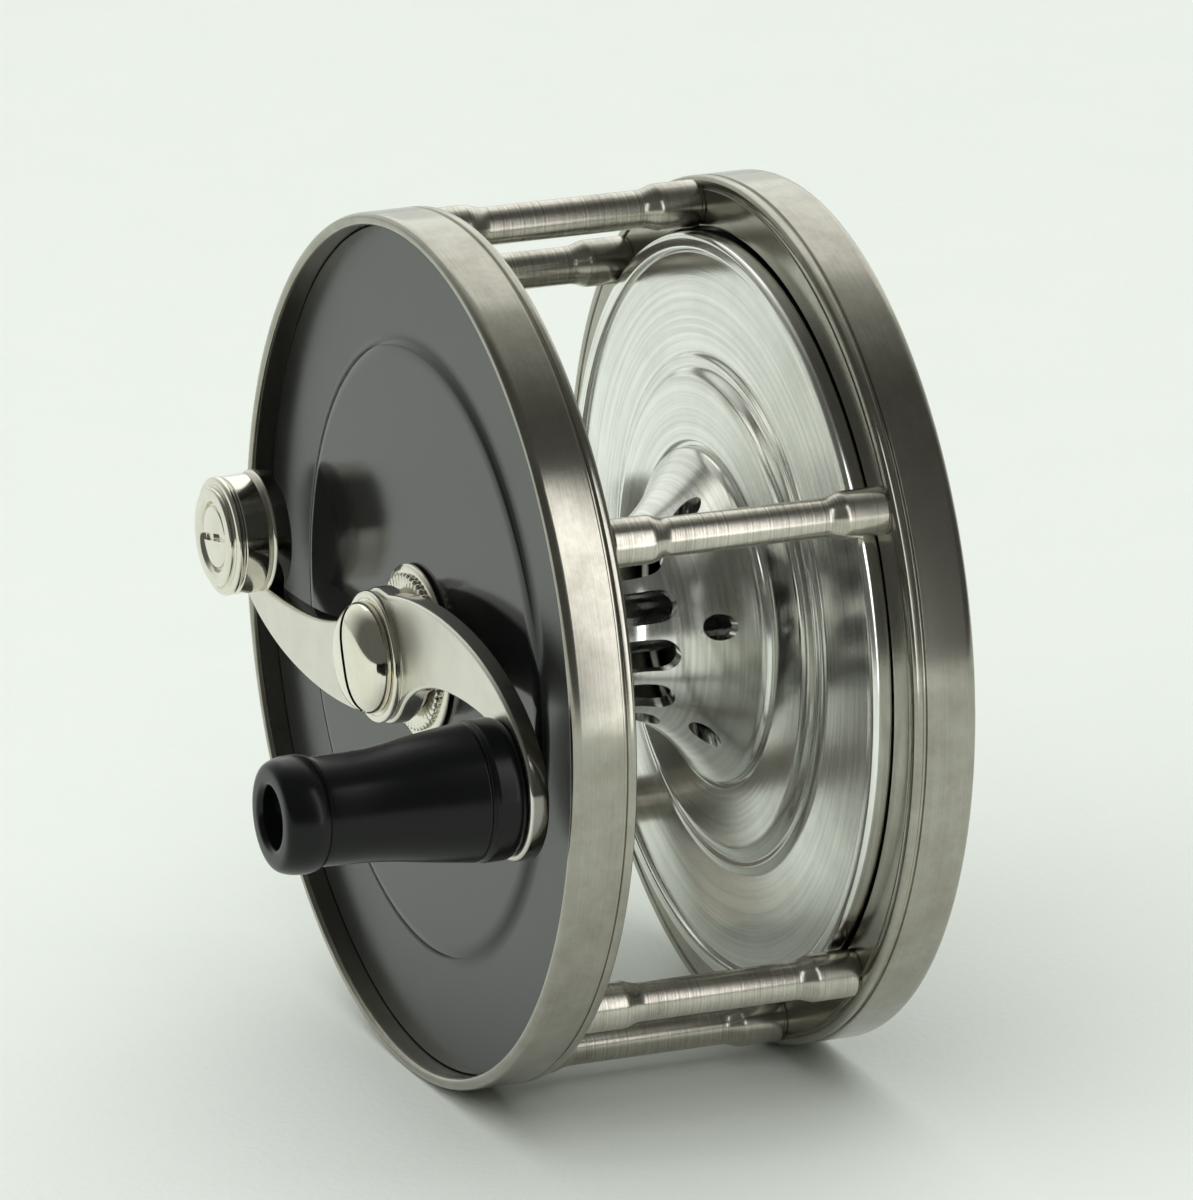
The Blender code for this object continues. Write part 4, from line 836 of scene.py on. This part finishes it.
def satin_plate(name, colour, dull, roughness):
    """Nickel silver plate rubbed with fine paper on its faces, with polished edges given painted shade."""
    material, tree, shader = new_material(name)
    shader.inputs["Metallic"].default_value = 1.0
    surface = node(tree, "TexCoord").outputs
    stretched = node(tree, "Mapping", {"Vector": surface["Object"], "Rotation": (0, 0.3, 0),
                                       "Scale": (600.0, 3000.0, 9000.0)})
    scratches = node(tree, "TexNoise", {"Vector": stretched.outputs[0], "Scale": 1.0, "Detail": 3.0})
    bump = node(tree, "Bump", {"Height": scratches.outputs["Fac"], "Distance": 1.2e-6})
    tree.links.new(bump.outputs[0], shader.inputs["Normal"])
    cloud = node(tree, "TexNoise", {"Vector": surface["Object"], "Scale": 220.0, "Detail": 6.0,
                                    "Roughness": 0.65})
    facing = node(tree, "SeparateXYZ", {0: surface["Normal"]})
    level = node(tree, "Math", {0: facing.outputs["Y"]}, operation="ABSOLUTE")
    gloss = node(tree, "MapRange", {"Value": cloud.outputs["Fac"], "To Min": 0.8 * roughness,
                                    "To Max": 1.3 * roughness})
    rubbed = node(tree, "MapRange", {"Value": level.outputs[0], "From Min": 0.80, "From Max": 0.97,
                                     "To Min": 0.35})
    finish = node(tree, "Math", {0: gloss.outputs[0], 1: rubbed.outputs[0]}, operation="MULTIPLY")
    tree.links.new(finish.outputs[0], shader.inputs["Roughness"])
    # Painted shade: the edges, whose normals point sideways, get a darker colour for the dark reflection they
    # show.
    painted_edge_shade = node(tree, "MapRange", {"Value": level.outputs[0], "From Min": 0.05, "From Max": 0.6,
                                       "To Min": 0.38})
    mottled = blend(tree, cloud.outputs["Fac"], colour, dull)
    shaded = node(tree, "VectorMath", {0: mottled, "Scale": painted_edge_shade.outputs[0]}, operation="SCALE")
    tree.links.new(shaded.outputs[0], shader.inputs["Base Color"])
    return material


arm_nickel = satin_plate("arm_nickel", (0.80, 0.775, 0.71), (0.66, 0.635, 0.57), 0.30)
arm_outline = (arm_side(knob_throw, knob_angle, knob_lobe, 1)
               + arm_side(weight_throw, weight_angle, weight_lobe, -1))
bm = bmesh.new()
layers = [(0.12 * mm, arm_back), (0, arm_back - 0.12 * mm), (0, arm_face + 0.42 * mm),
          (0.10 * mm, arm_face + 0.20 * mm), (0.26 * mm, arm_face + 0.06 * mm), (bevel_width, arm_face)]
rings = [[bm.verts.new((x, y, z)) for x, z in inset(arm_outline, distance)] for distance, y in layers]
for first, second in zip(rings, rings[1:]):
    bridge(bm, first, second)
bm.faces.new(rings[0])
bm.faces.new(rings[-1])
arm = new_piece("crank", bm, reel_axis, arm_nickel)
flat_normals(arm)

hub_top = arm_face - 0.28 * mm
hub_flat = 7.25 * mm
cove_radius = 12.0 * mm
cove_foot = arm_face - 0.002 * mm
cove_rise = 0.2 * mm
cove_steps = 12
cove = [(0, arm_face + 0.8 * mm), (cove_radius, arm_face + 0.8 * mm), (cove_radius, cove_foot)]
for i in range(1, cove_steps):
    t = i / cove_steps
    cove.append((cove_radius + (hub_flat - cove_radius) * t, cove_foot - cove_rise * t ** 3))
cove += [(hub_flat, hub_top + 0.06 * mm), (hub_flat - 0.08 * mm, hub_top), (0, hub_top)]
bm = bmesh.new()
rings = [circle(bm, radius, y, 128) for radius, y in cove]
for first, second in zip(rings, rings[1:]):
    bridge(bm, first, second)
hub = new_piece("hub", bm, reel_axis, arm_nickel)
carve(hub, prism(inset(arm_outline, bevel_width + 0.02 * mm), hub_top - mm, arm_face + 0.5 * mm), "INTERSECT")
bm = bmesh.new()
bm.from_mesh(hub.data)
bpy.data.objects.remove(hub)
carve(arm, bm, "UNION")
boss_outline = arc(arm_hub - 0.3 * mm, 0, 360 * 95 / 96, 96)
carve(arm, prism(boss_outline, arm_back - 0.3 * mm, boss_back), "UNION")
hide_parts("crank_arm")
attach(arm, "spool")

# ---- crank screw ---------------------------------------------------------------
# A polished round-headed screw holds the crank on the spindle's square, over a thin bright washer.
# Its head is turned to a soft dome and sawn across with a narrow slot.
washer_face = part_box("crank_washer")[0][1] - reel_axis.y
washer_base = hub_top + 0.02 * mm
washer_hole = 1.7 * mm
washer_radius = 7.2 * mm
dome_radius = 6.1 * mm
outline = rounded([
    (washer_hole, washer_base, 0),
    (washer_radius - 0.15 * mm, washer_base, 0.08 * mm),
    (washer_radius, hub_top - 0.35 * mm, 0.3 * mm),
    (washer_radius - 0.1 * mm, washer_face, 0.35 * mm),
    (dome_radius + 0.35 * mm, washer_face, 0.15 * mm),
    (dome_radius + 0.25 * mm, washer_face + 0.15 * mm, 0.06 * mm),
    (washer_hole, washer_face + 0.15 * mm, 0.06 * mm)])
washer = turn("crank_ring", outline, reel_axis, bright_nickel, 128)
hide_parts("crank_washer")
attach(washer, "spool")

dome_nickel = turned_metal("dome_nickel", (0.86, 0.82, 0.72), (0.74, 0.70, 0.60), 0.09, 0.25e-6, mottle=0.7,
                           cloud_scale=320)
dome_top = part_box("crank_cap_screw")[0][1] - reel_axis.y
dome_base = washer_face + 0.1 * mm
dome_side = 0.35 * mm
dome_rise = dome_base - dome_top - dome_side
dome_steps = 24
outline = [(0, dome_base), (dome_radius - 0.2 * mm, dome_base)]
for i in range(dome_steps + 1):
    t = math.radians(90 * i / dome_steps)
    outline.append((dome_radius * math.cos(t) ** 0.62 if i < dome_steps else 0,
                    dome_base - dome_side - dome_rise * math.sin(t) ** 0.95))
dome = turn("crank_dome", outline, reel_axis, dome_nickel, 128)
saw_slot(dome, 2.4 * dome_radius, 1.8 * mm, 0.75 * mm, 70, dome_top)
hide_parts("crank_cap_screw")
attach(dome, "spool")

# ---- counterweight ---------------------------------------------------------------
# A turned nickel silver barrel balances the knob. Two beads run round its face, and a broad
# slotted screw, sunk in the middle, holds it to the arm.
weight_x, weight_z = on_crank(weight_throw, weight_angle)
weight_axis = reel_axis + Vector((weight_x, 0, weight_z))
weight_low, weight_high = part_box("counterweight")
weight_radius = (weight_high[0] - weight_low[0]) / 2
weight_face = weight_low[1] - reel_axis.y
weight_hole = 1.5 * mm
bead_radius = weight_radius - 1.1 * mm
outline = rounded([
    (weight_hole, arm_face, 0),
    (weight_radius - 0.35 * mm, arm_face, 0.05 * mm),
    (weight_radius - 0.35 * mm, arm_face - 0.22 * mm, 0.05 * mm),
    (weight_radius, arm_face - 0.4 * mm, 0.12 * mm),
    (weight_radius - 0.05 * mm, arm_face - 3.0 * mm, 0.1 * mm),
    (weight_radius - 0.3 * mm, arm_face - 3.15 * mm, 0.05 * mm),
    (weight_radius - 0.3 * mm, arm_face - 3.3 * mm, 0.05 * mm),
    (weight_radius, arm_face - 3.4 * mm, 0.15 * mm),
    (weight_radius, weight_face + 0.7 * mm, 0.45 * mm),
    (weight_radius - 0.75 * mm, weight_face + 0.6 * mm, 0.2 * mm),
    (weight_radius - 0.95 * mm, weight_face + 0.75 * mm, 0.05 * mm),
    (bead_radius, weight_face + 0.6 * mm, 0.05 * mm),
    (bead_radius, weight_face, 0.45 * mm),
    (3.95 * mm, weight_face, 0.4 * mm),
    (3.7 * mm, weight_face + 0.75 * mm, 0.1 * mm),
    (weight_hole, weight_face + 0.75 * mm, 0)])
weight = turn("balance", outline, weight_axis, bright_nickel, 128)
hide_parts("counterweight")
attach(weight, "spool")
outline = rounded([
    (0, weight_face + 1.2 * mm, 0),
    (3.45 * mm, weight_face + 1.2 * mm, 0),
    (3.45 * mm, weight_face + 0.25 * mm, 0.25 * mm),
    (2.0 * mm, weight_face + 0.12 * mm, 1.0 * mm),
    (0, weight_face + 0.08 * mm, 0)])
screw = turn("balance_screw", outline, weight_axis, bright_nickel, 96)
saw_slot(screw, 8 * mm, 1.0 * mm, 0.85 * mm, -12, weight_face + 0.1 * mm)
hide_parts("counterweight_screw")
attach(screw, "spool")

# ---- knob --------------------------------------------------------------------------
# The handle is turned from black hard rubber, with a beaded foot, a waist for the fingers and a
# small bulb. It spins on a steel post, and a slotted screw at the bottom of its bore keeps it on.
knob_x, knob_z = on_crank(knob_throw, knob_angle)
knob_axis = reel_axis + Vector((knob_x, 0, knob_z))
knob_rubber = hard_rubber("knob_rubber", (0.0022, 0.0024, 0.0026), 0.24, 1.2e-6, 5000)
knob_rubber.node_tree.nodes["Principled BSDF"].inputs["Specular IOR Level"].default_value = 0.22
knob_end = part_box("knob")[0][1] - reel_axis.y
knob_base = arm_face - 0.12 * mm
post_radius = 2.0 * mm
bore_radius = 3.3 * mm
bore_depth = 4.0 * mm
outline = rounded([
    (post_radius, knob_base, 0),
    (7.2 * mm, knob_base, 0.1 * mm),
    (7.6 * mm, knob_base - 0.7 * mm, 0.6 * mm),
    (7.6 * mm, knob_base - 3.25 * mm, 0.35 * mm),
    (7.25 * mm, knob_base - 3.5 * mm, 0.08 * mm),
    (7.2 * mm, knob_base - 3.75 * mm, 0.08 * mm),
    (7.45 * mm, knob_base - 3.95 * mm, 0.2 * mm),
    (6.8 * mm, knob_base - 9.0 * mm, 4 * mm),
    (5.95 * mm, knob_base - 14.5 * mm, 5 * mm),
    (5.80 * mm, knob_base - 20.9 * mm, 1.5 * mm),
    (5.72 * mm, knob_base - 21.2 * mm, 0.05 * mm),
    (6.1 * mm, knob_base - 21.7 * mm, 0.3 * mm),
    (6.35 * mm, knob_base - 23.0 * mm, 1.0 * mm),
    (6.15 * mm, knob_base - 24.9 * mm, 1.3 * mm),
    (5.5 * mm, knob_end, 1.0 * mm),
    (3.65 * mm, knob_end, 0.4 * mm),
    (bore_radius, knob_end + 0.45 * mm, 0.25 * mm),
    (bore_radius, knob_end + bore_depth, 0.1 * mm),
    (post_radius, knob_end + bore_depth, 0)], steps=8)
knob = turn("handle", outline, knob_axis, knob_rubber, 160)
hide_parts("knob")
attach(knob, "knob")
screw_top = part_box("knob_screw")[0][1] - reel_axis.y
outline = rounded([
    (0, screw_top + 0.9 * mm, 0),
    (2.65 * mm, screw_top + 0.9 * mm, 0),
    (2.65 * mm, screw_top + 0.1 * mm, 0.2 * mm),
    (1.5 * mm, screw_top, 0.6 * mm),
    (0, screw_top, 0)])
screw = turn("handle_screw", outline, knob_axis, steel, 64)
saw_slot(screw, 6 * mm, 0.45 * mm, 0.6 * mm, -35, screw_top)
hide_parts("knob_screw")
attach(screw, "spool")
